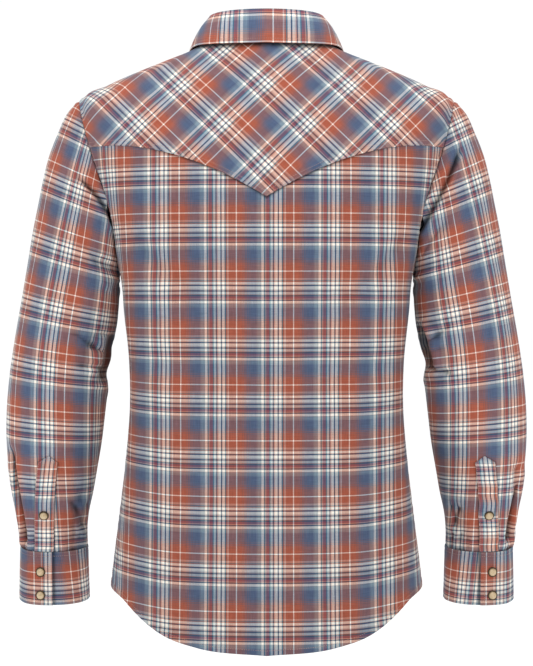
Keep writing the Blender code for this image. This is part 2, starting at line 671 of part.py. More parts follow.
def make_arm(side, finishes, collection):
    """A sleeve with its placket, its cuff and their snaps."""
    mirrored = side == "left"
    surface = sleeve_of(SLEEVE_FOLDS[side])
    clear = np.array([SEAM_GAP, 0, 0])  # keeps the sleeve's head off the body at the armhole
    cloth(f"sleeve_{side}", sleeve_grid(surface) + clear, finishes["cloth"], collection, mirrored, around=True)
    cloth(f"sleeve_placket_{side}", placket_grid(surface) + clear, finishes["band"], collection, mirrored)
    cloth(f"cuff_{side}", cuff_grid(), finishes["band"], collection, mirrored)

    run = (PLACKET_SNAP_LEVEL - PLACKET_FOOT["level"]) / (PLACKET_POINT["level"] - PLACKET_FOOT["level"])
    angle = PLACKET_FOOT["angle"] + (PLACKET_POINT["angle"] - PLACKET_FOOT["angle"]) * run
    normal = outward(surface, angle, PLACKET_SNAP_LEVEL, SLEEVE_FACING)
    place = surface(angle, PLACKET_SNAP_LEVEL) + clear + normal * PLACKET_LIFT
    snap(f"snap_placket_{side}", flipped(place, mirrored), flipped(normal, mirrored), finishes, collection)
    for row, height in zip(("upper", "lower"), CUFF_SNAP_Z):
        normal = outward(cuff_surface, CUFF_SNAP_ANGLE, height, SLEEVE_FACING)
        place = cuff_surface(CUFF_SNAP_ANGLE, height) + normal * cuff_lift(CUFF_SNAP_ANGLE)
        snap(f"snap_cuff_{side}_{row}", flipped(place, mirrored), flipped(normal, mirrored), finishes, collection)


def main():
    for old in list(bpy.data.objects):
        bpy.data.objects.remove(old)
    collection = bpy.data.collections.new(SHIRT)
    bpy.context.scene.collection.children.link(collection)
    finishes = {
        "cloth": material("plaid_cloth", CLOTH_COLOUR, 0.85),
        "band": material("plaid_band", BAND_COLOUR, 0.85),
        "brass": material("antique_brass", BRASS_COLOUR, 0.4, 1.0),
        "pearl": material("pearl", PEARL_COLOUR, 0.25),
    }
    neck_angles = make_body(finishes, collection)
    make_collar(neck_angles, finishes, collection)
    make_front_snaps(finishes, collection)
    for side in ("left", "right"):
        make_arm(side, finishes, collection)


main()
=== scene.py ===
"""Western snap shirt, filled out as if worn: its cloth, folds, seams, stitching, plaid and snaps.

Metres, +Z up. The origin is the centre of the neck hole, level with the top of the shoulders. The back
faces -Y and the wearer's right arm is on +X. The forms repeat those of the solids, more finely divided,
and each cloth piece stands for one solid.
"""

import math

import bmesh
import bpy
import numpy as np
from mathutils import Matrix, Vector


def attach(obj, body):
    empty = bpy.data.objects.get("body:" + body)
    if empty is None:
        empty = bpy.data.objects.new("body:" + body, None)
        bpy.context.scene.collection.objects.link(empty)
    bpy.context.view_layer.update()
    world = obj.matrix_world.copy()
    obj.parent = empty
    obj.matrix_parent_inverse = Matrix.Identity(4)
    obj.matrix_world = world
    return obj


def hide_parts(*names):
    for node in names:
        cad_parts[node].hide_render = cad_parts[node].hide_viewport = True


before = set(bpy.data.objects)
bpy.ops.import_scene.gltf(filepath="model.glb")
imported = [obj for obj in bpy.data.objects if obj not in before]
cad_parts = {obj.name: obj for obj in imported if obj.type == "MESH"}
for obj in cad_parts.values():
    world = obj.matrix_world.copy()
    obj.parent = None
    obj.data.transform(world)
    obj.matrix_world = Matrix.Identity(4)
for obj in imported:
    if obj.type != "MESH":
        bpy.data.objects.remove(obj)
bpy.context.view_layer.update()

# Cloth
WALL = 0.0012
SEAM_GAP = 0.0003
LAYER = WALL + SEAM_GAP  # how far a piece that lies on another is moved out


def table(names, rows):
    """A short table as its named columns."""
    return dict(zip(names.split(), np.array(rows, float).T))


# The body, ring by ring from the neck seam to below the hem. A ring's level is its height at centre back.
BODY = table("level half_width back_y front_y side_z front_z power", [
    (0.007, 0.0800, -0.0720, 0.0620, 0.0060, -0.0780, 2.0),
    (-0.015, 0.1014, -0.0840, 0.0690, -0.0045, -0.0880, 2.0),
    (-0.045, 0.1315, -0.0970, 0.0770, -0.0160, -0.1030, 2.05),
    (-0.080, 0.1704, -0.1080, 0.0870, -0.0312, -0.1230, 2.1),
    (-0.120, 0.2055, -0.1180, 0.0955, -0.0470, -0.1460, 2.15),
    (-0.165, 0.2397, -0.1250, 0.1040, -0.0680, -0.1750, 2.25),
    (-0.195, 0.2360, -0.1265, 0.1090, -0.1210, -0.2010, 2.4),
    (-0.225, 0.2195, -0.1270, 0.1130, -0.1750, -0.2280, 2.6),
    (-0.255, 0.2010, -0.1260, 0.1150, -0.2290, -0.2560, 2.8),
    (-0.285, 0.1890, -0.1230, 0.1145, -0.2850, -0.2850, 2.9),
    (-0.340, 0.1830, -0.1160, 0.1100, -0.3400, -0.3400, 3.0),
    (-0.400, 0.1768, -0.1090, 0.1040, -0.4000, -0.4000, 3.0),
    (-0.450, 0.1757, -0.1065, 0.1010, -0.4500, -0.4500, 2.9),
    (-0.530, 0.1816, -0.1100, 0.1040, -0.5300, -0.5300, 2.7),
    (-0.600, 0.1900, -0.1180, 0.1080, -0.6000, -0.6000, 2.5),
    (-0.690, 0.2010, -0.1270, 0.1125, -0.6900, -0.6900, 2.4),
    (-0.770, 0.2060, -0.1390, 0.1150, -0.7700, -0.7700, 2.3),
])
NECK_LEVEL = 0.007
ARMPIT_LEVEL = -0.285

# The armhole is an oval about the side of the body, in degrees round it and in ring levels.
ARMHOLE_LEVEL = -0.225
ARMHOLE_RISE = 0.060
ARMHOLE_BACK_REACH = 29.0
ARMHOLE_FRONT_REACH = 27.0
YOKE_CORNER = 60.0  # degrees round the armhole from the shoulder tip, on the back
SHOULDER_SEAM_ANGLE = 105.0  # degrees round the body from centre back

# The yoke's lower edge is level at the armholes and runs down to a point at centre back.
YOKE_EDGE_Z = -0.1314
YOKE_POINT_DROP = 0.0657
YOKE_HALF_WIDTH = 0.200
YOKE_POWER = 1.9

# The tails: the hem is highest at the side seams. HEM is the share of the drop at each share of the width.
HEM_SIDE_Z = -0.6905
BACK_TAIL_DROP = 0.0650
FRONT_TAIL_DROP = 0.0520
HEM = table(
    "across drop",
    [(0, 1), (0.42, 0.878), (0.636, 0.677), (0.738, 0.492), (0.818, 0.31), (0.894, 0.127), (1, 0)],
)

# The front closure
BAND_HALF_WIDTH = 0.019
FRONT_EDGE_X = 0.0158  # where the left front is sewn to the band, and the right front ends
BAND_TOP_SET = 0.0025
FRONT_SNAP_TOP_Z = -0.140
FRONT_SNAP_SPACING = 0.0885
FRONT_SNAP_COUNT = 6

# The collar
STAND_TOP = {"half_width": 0.0695, "back_y": -0.063, "front_y": 0.050}
STAND_TOP_Z = {"back": 0.0365, "side": 0.0375, "front": -0.0465}
STAND_LIFT_ANGLE = 145.0  # where its left end begins to rise over its right one
LEAF_ROLL = 0.0036
LEAF_EDGE = table("fold_angle edge_angle edge_level lift", [
    (0, 0, -0.006, 0.0050),
    (45, 43, -0.008, 0.0045),
    (90, 88, -0.011, 0.0030),
    (120, 115, -0.024, 0.0040),
    (148, 139, -0.044, 0.0055),
    (169, 156, -0.058, 0.0060),
])
LEAF_BULGE = 0.0025

# A sleeve, ring by ring from the armhole to the cuff. A ring's level is the height of its outer side.
SLEEVE = table("level outer_x inner_x inner_z depth centre_y", [
    (-0.0680, 0.2397, 0.1890, -0.2850, 0.0600, 0.000),
    (-0.0800, 0.2525, 0.1900, -0.2900, 0.0630, 0.000),
    (-0.1080, 0.2682, 0.1905, -0.2950, 0.0665, 0.000),
    (-0.1363, 0.2796, 0.1908, -0.3000, 0.0685, 0.000),
    (-0.1674, 0.2876, 0.1908, -0.3060, 0.0690, 0.000),
    (-0.1986, 0.2940, 0.1908, -0.3135, 0.0685, 0.000),
    (-0.2297, 0.3004, 0.1912, -0.3220, 0.0675, 0.000),
    (-0.2765, 0.3082, 0.1920, -0.3360, 0.0660, -0.001),
    (-0.3232, 0.3160, 0.1943, -0.3580, 0.0645, -0.003),
    (-0.3699, 0.3240, 0.2015, -0.3920, 0.0620, -0.005),
    (-0.4166, 0.3312, 0.2050, -0.4320, 0.0595, -0.005),
    (-0.4634, 0.3360, 0.2094, -0.4700, 0.0570, -0.002),
    (-0.5101, 0.3375, 0.2152, -0.5120, 0.0535, 0.005),
    (-0.5412, 0.3358, 0.2208, -0.5420, 0.0505, 0.010),
    (-0.5724, 0.3328, 0.2268, -0.5730, 0.0465, 0.017),
    (-0.6036, 0.3274, 0.2338, -0.6040, 0.0405, 0.023),
    (-0.6347, 0.3240, 0.2366, -0.6350, 0.0355, 0.028),
    (-0.6470, 0.3246, 0.2363, -0.6470, 0.0345, 0.030),
])
SLEEVE_CAP_LEVEL = -0.150  # below it the sleeve has left the armhole's shape
SLEEVE_POWER = 2.15
SLEEVE_FACING = -1  # degrees run from the outer side to the back, the other way from those round the body
TILT_LEVELS = (0.43, 0.58)  # how far down the tilt begins and is whole
WRIST_TILT = 0.10  # the forearm hangs forwards, so rings near the wrist are lower at the back by this slope

# A sleeve's largest folds, each a line in degrees round the sleeve (0 outer, 90 back) and in ring levels.
# A minus depth is a trough.
FOLD_COLUMNS = "angle level end_angle end_level width depth"
SLEEVE_FOLDS = {
    "left": table(FOLD_COLUMNS, [
        (158, -0.075, 122, -0.165, 0.016, -0.0050),
        (176, -0.085, 138, -0.210, 0.014, 0.0035),
        (162, -0.375, 112, -0.350, 0.010, -0.0030),
        (160, -0.415, 128, -0.425, 0.014, 0.0014),
        (36, -0.520, 28, -0.647, 0.009, -0.0055),
        (14, -0.540, 12, -0.647, 0.010, 0.0010),
        (140, -0.575, 134, -0.647, 0.009, -0.0040),
    ]),
    "right": table(FOLD_COLUMNS, [
        (160, -0.070, 104, -0.120, 0.016, -0.0060),
        (178, -0.085, 132, -0.190, 0.014, 0.0040),
        (168, -0.365, 120, -0.335, 0.010, -0.0028),
        (160, -0.365, 138, -0.362, 0.013, 0.0018),
        (40, -0.540, 28, -0.647, 0.009, -0.0050),
        (14, -0.550, 12, -0.647, 0.010, 0.0020),
        (134, -0.590, 130, -0.647, 0.009, -0.0040),
    ]),
}

# The cuff and the sleeve placket
CUFF_TOP_Z = -0.647
CUFF_BOTTOM_Z = -0.7165
CUFF = table("level outer_x inner_x depth", [
    (-0.7165, 0.3262, 0.2342, 0.0345),
    (-0.647, 0.3246, 0.2363, 0.0345),
])
CUFF_CENTRE_Y = 0.030
CUFF_END_ANGLE = 93.0  # where the upper end of the cuff stops, on the back
CUFF_LAP_ANGLE = 36.0
CUFF_SNAP_ANGLE = 74.0
CUFF_SNAP_Z = (-0.673, -0.7033)
PLACKET_WIDTH = 0.025
PLACKET_POINT = {"angle": 90.0, "level": -0.5206}
PLACKET_FOOT = {"angle": 79.0, "level": -0.6458}
PLACKET_SHOULDER = 0.0085  # how far its corners lie below its point
PLACKET_SNAP_LEVEL = -0.595
PLACKET_LIFT = LAYER + 0.0004

# How the cloth is divided, and its walls
ROW_SAG = 0.035  # how far the rows dip inwards of the armpit, which squares them to the armhole
CLOTH_STEP = 0.0032
SEWN_STEPS = np.array([0, 0.0007, 0.0014, 0.0022, 0.0036, 0.0052, 0.0066, 0.0078, 0.0095])
SLEEVE_COLUMNS = 168
SLEEVE_STEP = 0.0026
CLOTH_WALL = 0.0009
BAND_WALL = 0.0011
PLACKET_WALL = 0.0009
BAND_LIFT = LAYER + 0.0002
COLLAR_WALL = 0.0012
CUFF_WALL = 0.0012
CUFF_RAISE = 0.0004

# Seams and hems
SEAM_DEPTH = 0.0009
SEAM_WIDTH = 0.0012
FELL_WIDTH = 0.0064
FELL_HEIGHT = 0.0005
HEM_WIDTH = 0.0070
HEM_HEIGHT = 0.0006
ROPE = {"height": 0.00018, "lean": 0.8, "pitch": 0.0095}  # the twist that sewing puts into a narrow hem
LIP = {"away": 1.9, "width": 0.8, "share": 0.28}  # the dip beside a crease, in widths of the crease
YOKE_LAP = 0.0045  # how far the back runs up under the yoke
YOKE_LAP_DEPTH = 0.0007
YOKE_RAISE = 0.0010
HEM_STITCH = HEM_WIDTH - 0.001
EDGE_STITCH = 0.0055
EDGE_ROLL = {"depth": 0.0006, "reach": 0.0008}
STITCH_DIP = {"depth": 0.00022, "reach": 0.0009}
SIDE_STITCH = 0.0056
YOKE_STITCHES = (0.0016, 0.0062)
TRIM_STITCH = 0.0017

# Creases, from one place to another in metres of x and z, or on a sleeve in degrees and ring levels
CREASE = "x z end_x end_z width depth bow"
BACK_CREASES = table(CREASE, [
    (-0.170, -0.235, -0.105, -0.300, 0.012, -0.0022, 0.006),
    (0.172, -0.240, 0.110, -0.310, 0.012, -0.0022, -0.006),
    (-0.150, -0.390, -0.060, -0.420, 0.022, -0.0016, 0.004),
    (0.150, -0.400, 0.070, -0.425, 0.022, -0.0016, -0.004),
    (-0.060, -0.250, -0.075, -0.560, 0.040, -0.0016, 0.010),
    (0.070, -0.260, 0.090, -0.600, 0.040, -0.0016, -0.010),
])
YOKE_CREASES = table(CREASE, [
    (-0.150, -0.070, -0.060, -0.020, 0.020, -0.0012, 0.0),
    (0.150, -0.070, 0.060, -0.020, 0.020, -0.0012, 0.0),
])
FRONT_CREASES = {
    side: table(CREASE, [
        (0.175, -0.235, 0.100, -0.310, 0.013, -0.0024, 0.005 * way),
        (0.140, -0.380, 0.050, -0.410, 0.022, -0.0018, 0.004 * way),
        (0.080, -0.200, 0.095, -0.560, 0.034, -0.0018, 0.008 * way),
    ]) for side, way in (("left", 1), ("right", -1))
}
SLEEVE_CREASES = {
    side: table(CREASE, [
        (200, -0.120, 235, -0.180, 0.010, -0.0035, 0.002),
        (190, -0.150, 240, -0.250, 0.012, -0.0030, 0.003),
        (188, -0.360, 240, -0.345, 0.009, -0.0030, 0.002),
        (190, -0.395, 232, -0.410, 0.010, -0.0024, -0.002),
        (330, -0.560, 335, -0.647, 0.008, -0.0030, 0.001),
        (250, -0.570, 256, -0.647, 0.008, -0.0030, 0.001),
        (150, elbow, 214, elbow, 0.0130, -0.0032, 0.0),
    ]) for side, elbow in (("left", -0.4021), ("right", -0.3843))
}
# Those on the back of a sleeve, in metres of x and z: beside the armhole, at the elbow and above the cuff
SLEEVE_BACK_CREASES = {
    "left": table(CREASE, [
        (0.2349, -0.1705, 0.1908, -0.2247, 0.0036, -0.0054, 0.0040),
        (0.2290, -0.1640, 0.1880, -0.2150, 0.0050, 0.0026, 0.0040),
        (0.2020, -0.3620, 0.2260, -0.3860, 0.0085, -0.0022, 0.0020),
        (0.2066, -0.3660, 0.2160, -0.4050, 0.0062, 0.0034, -0.0015),
        (0.1930, -0.3640, 0.2060, -0.4120, 0.0056, -0.0048, -0.0010),
        (0.2080, -0.4110, 0.2320, -0.4062, 0.0034, -0.0026, -0.0010),
        (0.3288, -0.5117, 0.3167, -0.6340, 0.0034, -0.0050, 0.0010),
        (0.2523, -0.5807, 0.2401, -0.6150, 0.0036, -0.0026, 0.0010),
        (0.2311, -0.5846, 0.2388, -0.6168, 0.0032, -0.0022, -0.0010),
        (0.2440, -0.6260, 0.2435, -0.6440, 0.0030, -0.0016, 0.0),
        (0.3000, -0.6280, 0.2990, -0.6440, 0.0030, -0.0014, 0.0),
    ]),
    "right": table(CREASE, [
        (0.2452, -0.1290, 0.1948, -0.2280, 0.0036, -0.0070, -0.0030),
        (0.2400, -0.1240, 0.1905, -0.2200, 0.0056, 0.0032, -0.0030),
        (0.1920, -0.3480, 0.2065, -0.4011, 0.0044, -0.0066, -0.0018),
        (0.1985, -0.3470, 0.2130, -0.3980, 0.0056, 0.0028, -0.0018),
        (0.2020, -0.4080, 0.2280, -0.4140, 0.0030, -0.0038, 0.0010),
        (0.3254, -0.5600, 0.3167, -0.6295, 0.0036, -0.0052, 0.0012),
        (0.2390, -0.5880, 0.2442, -0.6110, 0.0032, -0.0026, 0.0),
        (0.2506, -0.5900, 0.2455, -0.6120, 0.0030, -0.0024, 0.0),
        (0.2420, -0.6250, 0.2425, -0.6440, 0.0028, -0.0022, 0.0),
        (0.2610, -0.6280, 0.2620, -0.6440, 0.0028, -0.0014, 0.0),
    ]),
}
# How far the armhole seam is raised at the tip of the shoulder, and the sleeve's head beside it
TIP_RISE = 0.0022
TIP_SPREAD = 32.0  # degrees round the armhole
TIP_ENDS = (46, 60)
TIP_REACH = 0.006
YOKE_DIP = {"depth": 0.0032, "away": 0.014, "reach": 0.011}  # the hollow beside that seam on the yoke
HEAD_RISE = 0.0026
HEAD_REACH = 0.036
# Where folds overhang and keep the light out: their last figure but one is how dark they are
SLEEVE_SHADOWS = {
    "left": table(CREASE, [
        (0.1930, -0.3620, 0.2060, -0.4110, 0.0080, 0.80, 0.0),
        (0.2340, -0.1730, 0.1905, -0.2270, 0.0030, 0.55, 0.0040),
        (0.1940, -0.2280, 0.1880, -0.2700, 0.0040, 0.70, 0.0),
        (0.3280, -0.5250, 0.3160, -0.6330, 0.0022, 0.60, 0.0010),
    ]),
    "right": table(CREASE, [
        (0.1910, -0.3520, 0.2050, -0.3990, 0.0062, 0.90, -0.0010),
        (0.2460, -0.1340, 0.1955, -0.2290, 0.0034, 0.60, -0.0030),
        (0.1960, -0.2260, 0.1880, -0.2700, 0.0052, 0.80, 0.0),
        (0.3245, -0.5620, 0.3167, -0.6320, 0.0026, 0.75, 0.0010),
    ]),
}
PLACKET_WAVE = {"left": 0.0003, "right": 0.0012}

# The plaid. Its yarns are sRGB, and its stripes run from a white line to the next, as shares of the repeat.
WARP_REPEAT = 0.0698
WEFT_REPEAT = 0.0695
WARP_START = -0.0368
WEFT_START = -0.2167
WAIST_SLACK = 0.0020
SIDE_LIFT = 0.0045
YOKE_EASE = 0.95
YOKE_START = np.array([0.1262, -0.0869])
BAND_WARP = 0.0482
STAND_WARP = 0.02
LEAF_WARP = 0.0085
LEAF_EASE = {"across": 0.80, "up": 0.865}
LEAF_WEFT = 0.0015
SLANT_AT_HEAD = 0.48
SLANT_FROM_Z = -0.66
SLANT_RUN = 0.51
SLANT_MOST = 1.15
SLANT_POWER = 1.7
SLEEVE_MIDDLE_X = 0.265
SLEEVE_BACK_LINE = table("z x", [
    (-0.52, 0.268), (-0.39, 0.2626), (-0.276, 0.2442), (-0.175, 0.2258), (-0.11, 0.213),
])
HEAD_GRAIN_Z = -0.37
DEPTH_COUNTS = (0.15, 0.25)  # metres below the origin between which the sleeve's depth comes to count
FLAT_TO_PLAIN = (-55, 30)  # degrees from the outer side towards the front, and so is the next
GAP_SPREAD = (-20, 110)
LEFT_SLEEVE_WARP = 0.0115
SLEEVE_WEFT_START = -0.150
WEFT_GAP = 0.083
WEFT_GAP_LOSS = 0.00117
PLACKET_WARP = 0.0482
PLACKET_WEFT = {"left": -0.6073, "right": -0.5704}
PLACKET_RISE = 0.004
CUFF_WARP = {"left": -0.0245, "right": 0.0076}
CUFF_LAP_RAISE = 0.0010
CUFF_WEFT = -0.674
YARNS = {
    "white": (246, 238, 230),
    "cream": (246, 240, 228),
    "light": (217, 186, 174),
    "rust": (161, 86, 67),
    "slate": (78, 92, 119),
    "navy": (10, 60, 94),
    "teal": (46, 108, 130),
    "burgundy": (122, 70, 86),
    "grey_teal": (122, 142, 154),
    "pale_teal": (192, 208, 210),
}
WARP_SHADES = [
    (0, 0), (0.082, 0), (0.10, 0.24), (0.145, 0.42), (0.19, 0.64), (0.24, 0.78), (0.27, 0.92), (0.31, 1),
    (0.335, 0.98), (0.372, 0.8), (0.5, 0), (1, 0),
]
WARP_STRIPES = [
    (0, 0.009, "white", 1),
    (0.350, 0.372, "grey_teal", 0.5),
    (0.372, 0.437, "grey_teal", 1),
    (0.437, 0.480, "cream", 1),
    (0.484, 0.503, "teal", 1),
    (0.503, 0.520, "pale_teal", 0.5),
    (0.520, 0.576, "burgundy", 0.9),
    (0.576, 0.594, "teal", 1),
    (0.594, 0.634, "pale_teal", 1),
    (0.637, 0.655, "navy", 1),
    (0.659, 0.676, "light", 1),
    (0.676, 0.720, "cream", 1),
    (0.722, 0.741, "navy", 1),
    (0.744, 0.792, "cream", 1),
    (0.795, 0.813, "teal", 1),
    (0.838, 0.860, "light", 0.9),
    (0.991, 1, "white", 1),
]
WEFT_SHADES = [
    (0, 0), (0.50, 0), (0.62, 1), (0.745, 1), (0.763, 0.88), (0.80, 0.68), (0.855, 0.46), (0.885, 0.27),
    (0.94, 0.09), (0.96, 0), (1, 0),
]
WEFT_STRIPES = [
    (0, 0.0098, "white", 1),
    (0.124, 0.137, "light", 0.8),
    (0.143, 0.153, "light", 0.7),
    (0.158, 0.172, "teal", 0.7),
    (0.188, 0.234, "cream", 1),
    (0.239, 0.260, "navy", 0.95),
    (0.264, 0.312, "cream", 1),
    (0.312, 0.332, "pale_teal", 0.75),
    (0.335, 0.356, "navy", 0.85),
    (0.360, 0.405, "pale_teal", 0.9),
    (0.412, 0.438, "navy", 0.8),
    (0.438, 0.478, "burgundy", 1),
    (0.480, 0.490, "light", 0.7),
    (0.494, 0.514, "navy", 0.9),
    (0.518, 0.562, "cream", 1),
    (0.566, 0.606, "grey_teal", 0.9),
    (0.606, 0.634, "grey_teal", 0.7),
    (0.9902, 1, "white", 1),
]
PIN_STRIPE = 0.0021
PIN_CONTRAST = 1.0
YARN_GAMMA = 2.2
THREAD_PITCH = 0.0006
WEAVE_CONTRAST = 0.20
SLUB_CONTRAST = 0.20
HOLLOW_SHADE = 2.6
SHADE_DEPTH = 0.75
# Painted shade: the back is a little darker than the yoke, and more so lower down, where less light reaches
# it
BACK_SHADE = {"top": 0.10, "per_metre": 0.25}
# Painted shade over the whole of each cuff, which hangs low where less light reaches
CUFF_SHADE = 0.10
# Painted shade on the side of a sleeve next to the body, which the body keeps from the light: how dark it
# is, and how far down that begins and is whole
INNER_SHADE = {"left": (0.24, 0.26, 0.34), "right": (0.28, 0.42, 0.52)}
INNER_ANGLES = (80, 150)
YOKE_SHADE = -0.06  # the yoke and the collar lie in more light
LEAF_SHADE = -0.16
LEAST_SHADE = -0.20

# Stitches and their thread
STITCH_LENGTH = 0.0021
STITCH_PITCH = 0.0028
THREAD_RADIUS = 0.00026
STITCH_RISE = 0.00016
THREAD_COLOURS = ((0.36, 0.21, 0.17, 1), (0.50, 0.34, 0.28, 1))

# A snap as it looks: a turned brass rim round a pearl dome
RIM_RADIUS = 0.0064
RIM_HEIGHT = 0.0021
RIM_WIDTH = 0.0013
RIM_SIDES = 40
PEARL_RADIUS = 0.0052
PEARL_HEIGHT = 0.0036
PEARL_SEAT = 0.0009
SNAP_SINK = 0.0002
PLACKET_SNAP_LIFT = 0.0006
SNAP_TURN = 1.1  # radians from one snap to the next
# The painted shade at a pearl's rim, then the two tones of its swirls
PEARL_COLOURS_AND_RIM_SHADE = ((0.20, 0.125, 0.055, 1), (0.46, 0.335, 0.18, 1), (0.57, 0.43, 0.26, 1))
BRASS_COLOURS = ((0.030, 0.022, 0.016, 1), (0.125, 0.092, 0.056, 1))

# The fronts as they are cut; the right one goes on under the band.
FRONT_CUTS = {
    "left": {"flat": (0.26, 0.75), "area": 0.157},
    "right": {"flat": (0.29, 0.75), "area": 0.179},
}

# The studio: name, place, size and power of each light
STUDIO_LIGHTS = [
    ("key", (-1.6, -3.0, 2.0), 2.2, 24.5),
    ("fill", (1.9, -2.9, 1.2), 2.2, 7),
    ("top", (0.0, -0.6, 2.2), 1.4, 26),
]
LIT_POINT = (0, 0, -0.38)
SKY = 0.75
BACKDROP = 1.02  # the sky's strength where the camera sees it
FLOOR_GREY = 0.92
FLOOR_GLOW = 0.35
FLOOR_Z = -1.45
FLOOR_SIZE = 40
CAMERA_PLACE = (0, -2.0, -0.3167)
CAMERA_DOWN = 1.41  # degrees below level
CAMERA_LENS = 83.3


def smooth(keys, values, wanted):
    """The smooth curve through a table's rows, read at the wanted keys."""
    order = np.argsort(keys)
    keys, values = keys[order], values[order]
    step = np.diff(keys)
    slope = np.diff(values) / step
    tangent = np.empty_like(values)
    tangent[0], tangent[-1] = slope[0], slope[-1]
    tangent[1:-1] = (slope[:-1] * step[1:] + slope[1:] * step[:-1]) / (step[:-1] + step[1:])
    wanted = np.clip(wanted, keys[0], keys[-1])
    row = np.clip(np.searchsorted(keys, wanted) - 1, 0, len(keys) - 2)
    share = (wanted - keys[row]) / step[row]
    ease = share * share * (3 - 2 * share)
    leaving = share * (1 - share) ** 2 * tangent[row]
    arriving = share**2 * (1 - share) * tangent[row + 1]
    return values[row] + (values[row + 1] - values[row]) * ease + (leaving - arriving) * step[row]


def ease_in(value, start, end):
    """0 before start, 1 after end, and smooth between."""
    share = np.clip((value - start) / (end - start), 0, 1)
    return share * share * (3 - 2 * share)


def bell(distance, width):
    """1 at no distance, and falling smoothly to 0 within two or three widths."""
    return np.exp(-((distance / width) ** 2))


def read(rows, key, wanted):
    """Every column of a table at the wanted keys."""
    return {name: smooth(rows[key], column, wanted) for name, column in rows.items() if name != key}


def oval(angle, power):
    """How far across and how far back a rounded box of half sizes 1 reaches at an angle in degrees."""
    across, along = np.sin(np.radians(angle)), np.cos(np.radians(angle))
    size = (np.abs(across) ** power + np.abs(along) ** power) ** (1 / power)
    return across / size, along / size


def body(angle, level):
    """The body form's outer surface, at degrees round it from centre back and at a ring's level."""
    angle, level = np.broadcast_arrays(np.asarray(angle, float), np.asarray(level, float))
    ring = read(BODY, "level", level)
    across, along = oval(angle, ring["power"])
    middle_z = np.where(along >= 0, level, ring["front_z"])
    depth = np.where(along >= 0, -ring["back_y"], ring["front_y"])
    z = ring["side_z"] + (middle_z - ring["side_z"]) * np.cos(np.radians(angle)) ** 2
    return np.stack([ring["half_width"] * across, -depth * along, z], -1)


def outward(surface, angle, level, facing=1, step=0.05):
    """The unit normal of a surface of degrees and level. Facing is -1 round a sleeve or cuff."""
    round_it = surface(angle + step, level) - surface(angle - step, level)
    metres = step / 100
    down_it = surface(angle, level - metres) - surface(angle, level + metres)
    normal = np.cross(down_it, round_it) * facing
    return normal / np.linalg.norm(normal, axis=-1, keepdims=True)


def moved_out(surface, angle, level, distance, facing=1):
    return surface(angle, level) + outward(surface, angle, level, facing) * distance


def solved(function, low, high):
    """Where a rising function of one array crosses zero."""
    for _ in range(40):
        middle = (low + high) / 2
        above = function(middle) > 0
        low, high = np.where(above, low, middle), np.where(above, middle, high)
    return (low + high) / 2


def armhole_level(turn):
    """The ring level at degrees round the armhole from the shoulder tip."""
    return ARMHOLE_LEVEL + ARMHOLE_RISE * np.cos(np.radians(turn))


def armhole_angle(turn):
    """Degrees round the body at degrees round the armhole, which runs down the back and up the front."""
    across = np.sin(np.radians(turn))
    return 90 - across * np.where(across > 0, ARMHOLE_BACK_REACH, ARMHOLE_FRONT_REACH)


def side_angle(level, reach):
    """How far round the body a panel reaches: to the side seam, and above it to the armhole."""
    height = np.clip((level - ARMHOLE_LEVEL) / ARMHOLE_RISE, -1, 1)
    return 90 - reach * np.sqrt(1 - height**2)


SHOULDER_CORNER = math.degrees(math.asin((SHOULDER_SEAM_ANGLE - 90) / ARMHOLE_FRONT_REACH))


def yoke_edge_z(x):
    inward = np.clip(1 - np.abs(x) / YOKE_HALF_WIDTH, 0, 1)
    return YOKE_EDGE_Z - YOKE_POINT_DROP * inward**YOKE_POWER


def hem_level(angle, tail_drop):
    """The height of the hem at degrees round the body."""
    def above_hem(level):
        point = body(angle, level)
        half_width = read(BODY, "level", level)["half_width"]
        share = smooth(HEM["across"], HEM["drop"], np.abs(point[..., 0]) / half_width)
        return point[..., 2] - (HEM_SIDE_Z - tail_drop * share)

    return solved(above_hem, np.full_like(angle, -0.77), np.full_like(angle, -0.60))


# ---------------------------------------------------------------- collar


def stand_top(angle):
    across, along = np.sin(np.radians(angle)), np.cos(np.radians(angle))
    depth = np.where(along >= 0, -STAND_TOP["back_y"], STAND_TOP["front_y"])
    middle_z = np.where(along >= 0, STAND_TOP_Z["back"], STAND_TOP_Z["front"])
    z = STAND_TOP_Z["side"] + (middle_z - STAND_TOP_Z["side"]) * along**2
    return np.stack([STAND_TOP["half_width"] * across, -depth * along, z], -1)


def stand_directions(angle):
    """The directions square to the stand, away from the neck, and square to its top edge, upwards."""
    along = stand_top(angle + 0.05) - stand_top(angle - 0.05)
    up = stand_top(angle) - body(angle, NECK_LEVEL)
    face = np.cross(along, up)
    rise = np.cross(face, along)
    return tuple(d / np.linalg.norm(d, axis=-1, keepdims=True) for d in (face, rise))


# ---------------------------------------------------------------- sleeves


def fold_height(folds, angle, level):
    """How far the sleeve's folds raise its surface."""
    ring = read(SLEEVE, "level", level)
    reach = np.hypot(ring["outer_x"] - ring["inner_x"], level - ring["inner_z"]) / 2
    height = np.zeros(np.broadcast(angle, level).shape)
    for row in zip(*folds.values()):
        start_angle, start, end_angle, end, width, depth = row
        along = np.clip((level - start) / (end - start), 0, 1)
        nearest_angle = start_angle + (end_angle - start_angle) * along
        nearest = start + (end - start) * along
        aside = (angle - nearest_angle) * math.pi / 180 * reach
        distance = np.hypot(aside, level - nearest)
        height += depth * bell(distance, width)
    return height


def sleeve_ring(across, back, level):
    """A point of a ring: across is 1 at its outer side and -1 at its inner, and back is 1 at the back."""
    ring = read(SLEEVE, "level", level)
    outer = np.stack([ring["outer_x"], ring["centre_y"], level], -1)
    inner = np.stack([ring["inner_x"], ring["centre_y"], ring["inner_z"]], -1)
    point = (outer + inner) / 2 + (outer - inner) / 2 * across[..., None]
    point[..., 1] -= ring["depth"] * back
    point[..., 2] -= ring["depth"] * back * WRIST_TILT * ease_in(-level, *TILT_LEVELS)
    return point


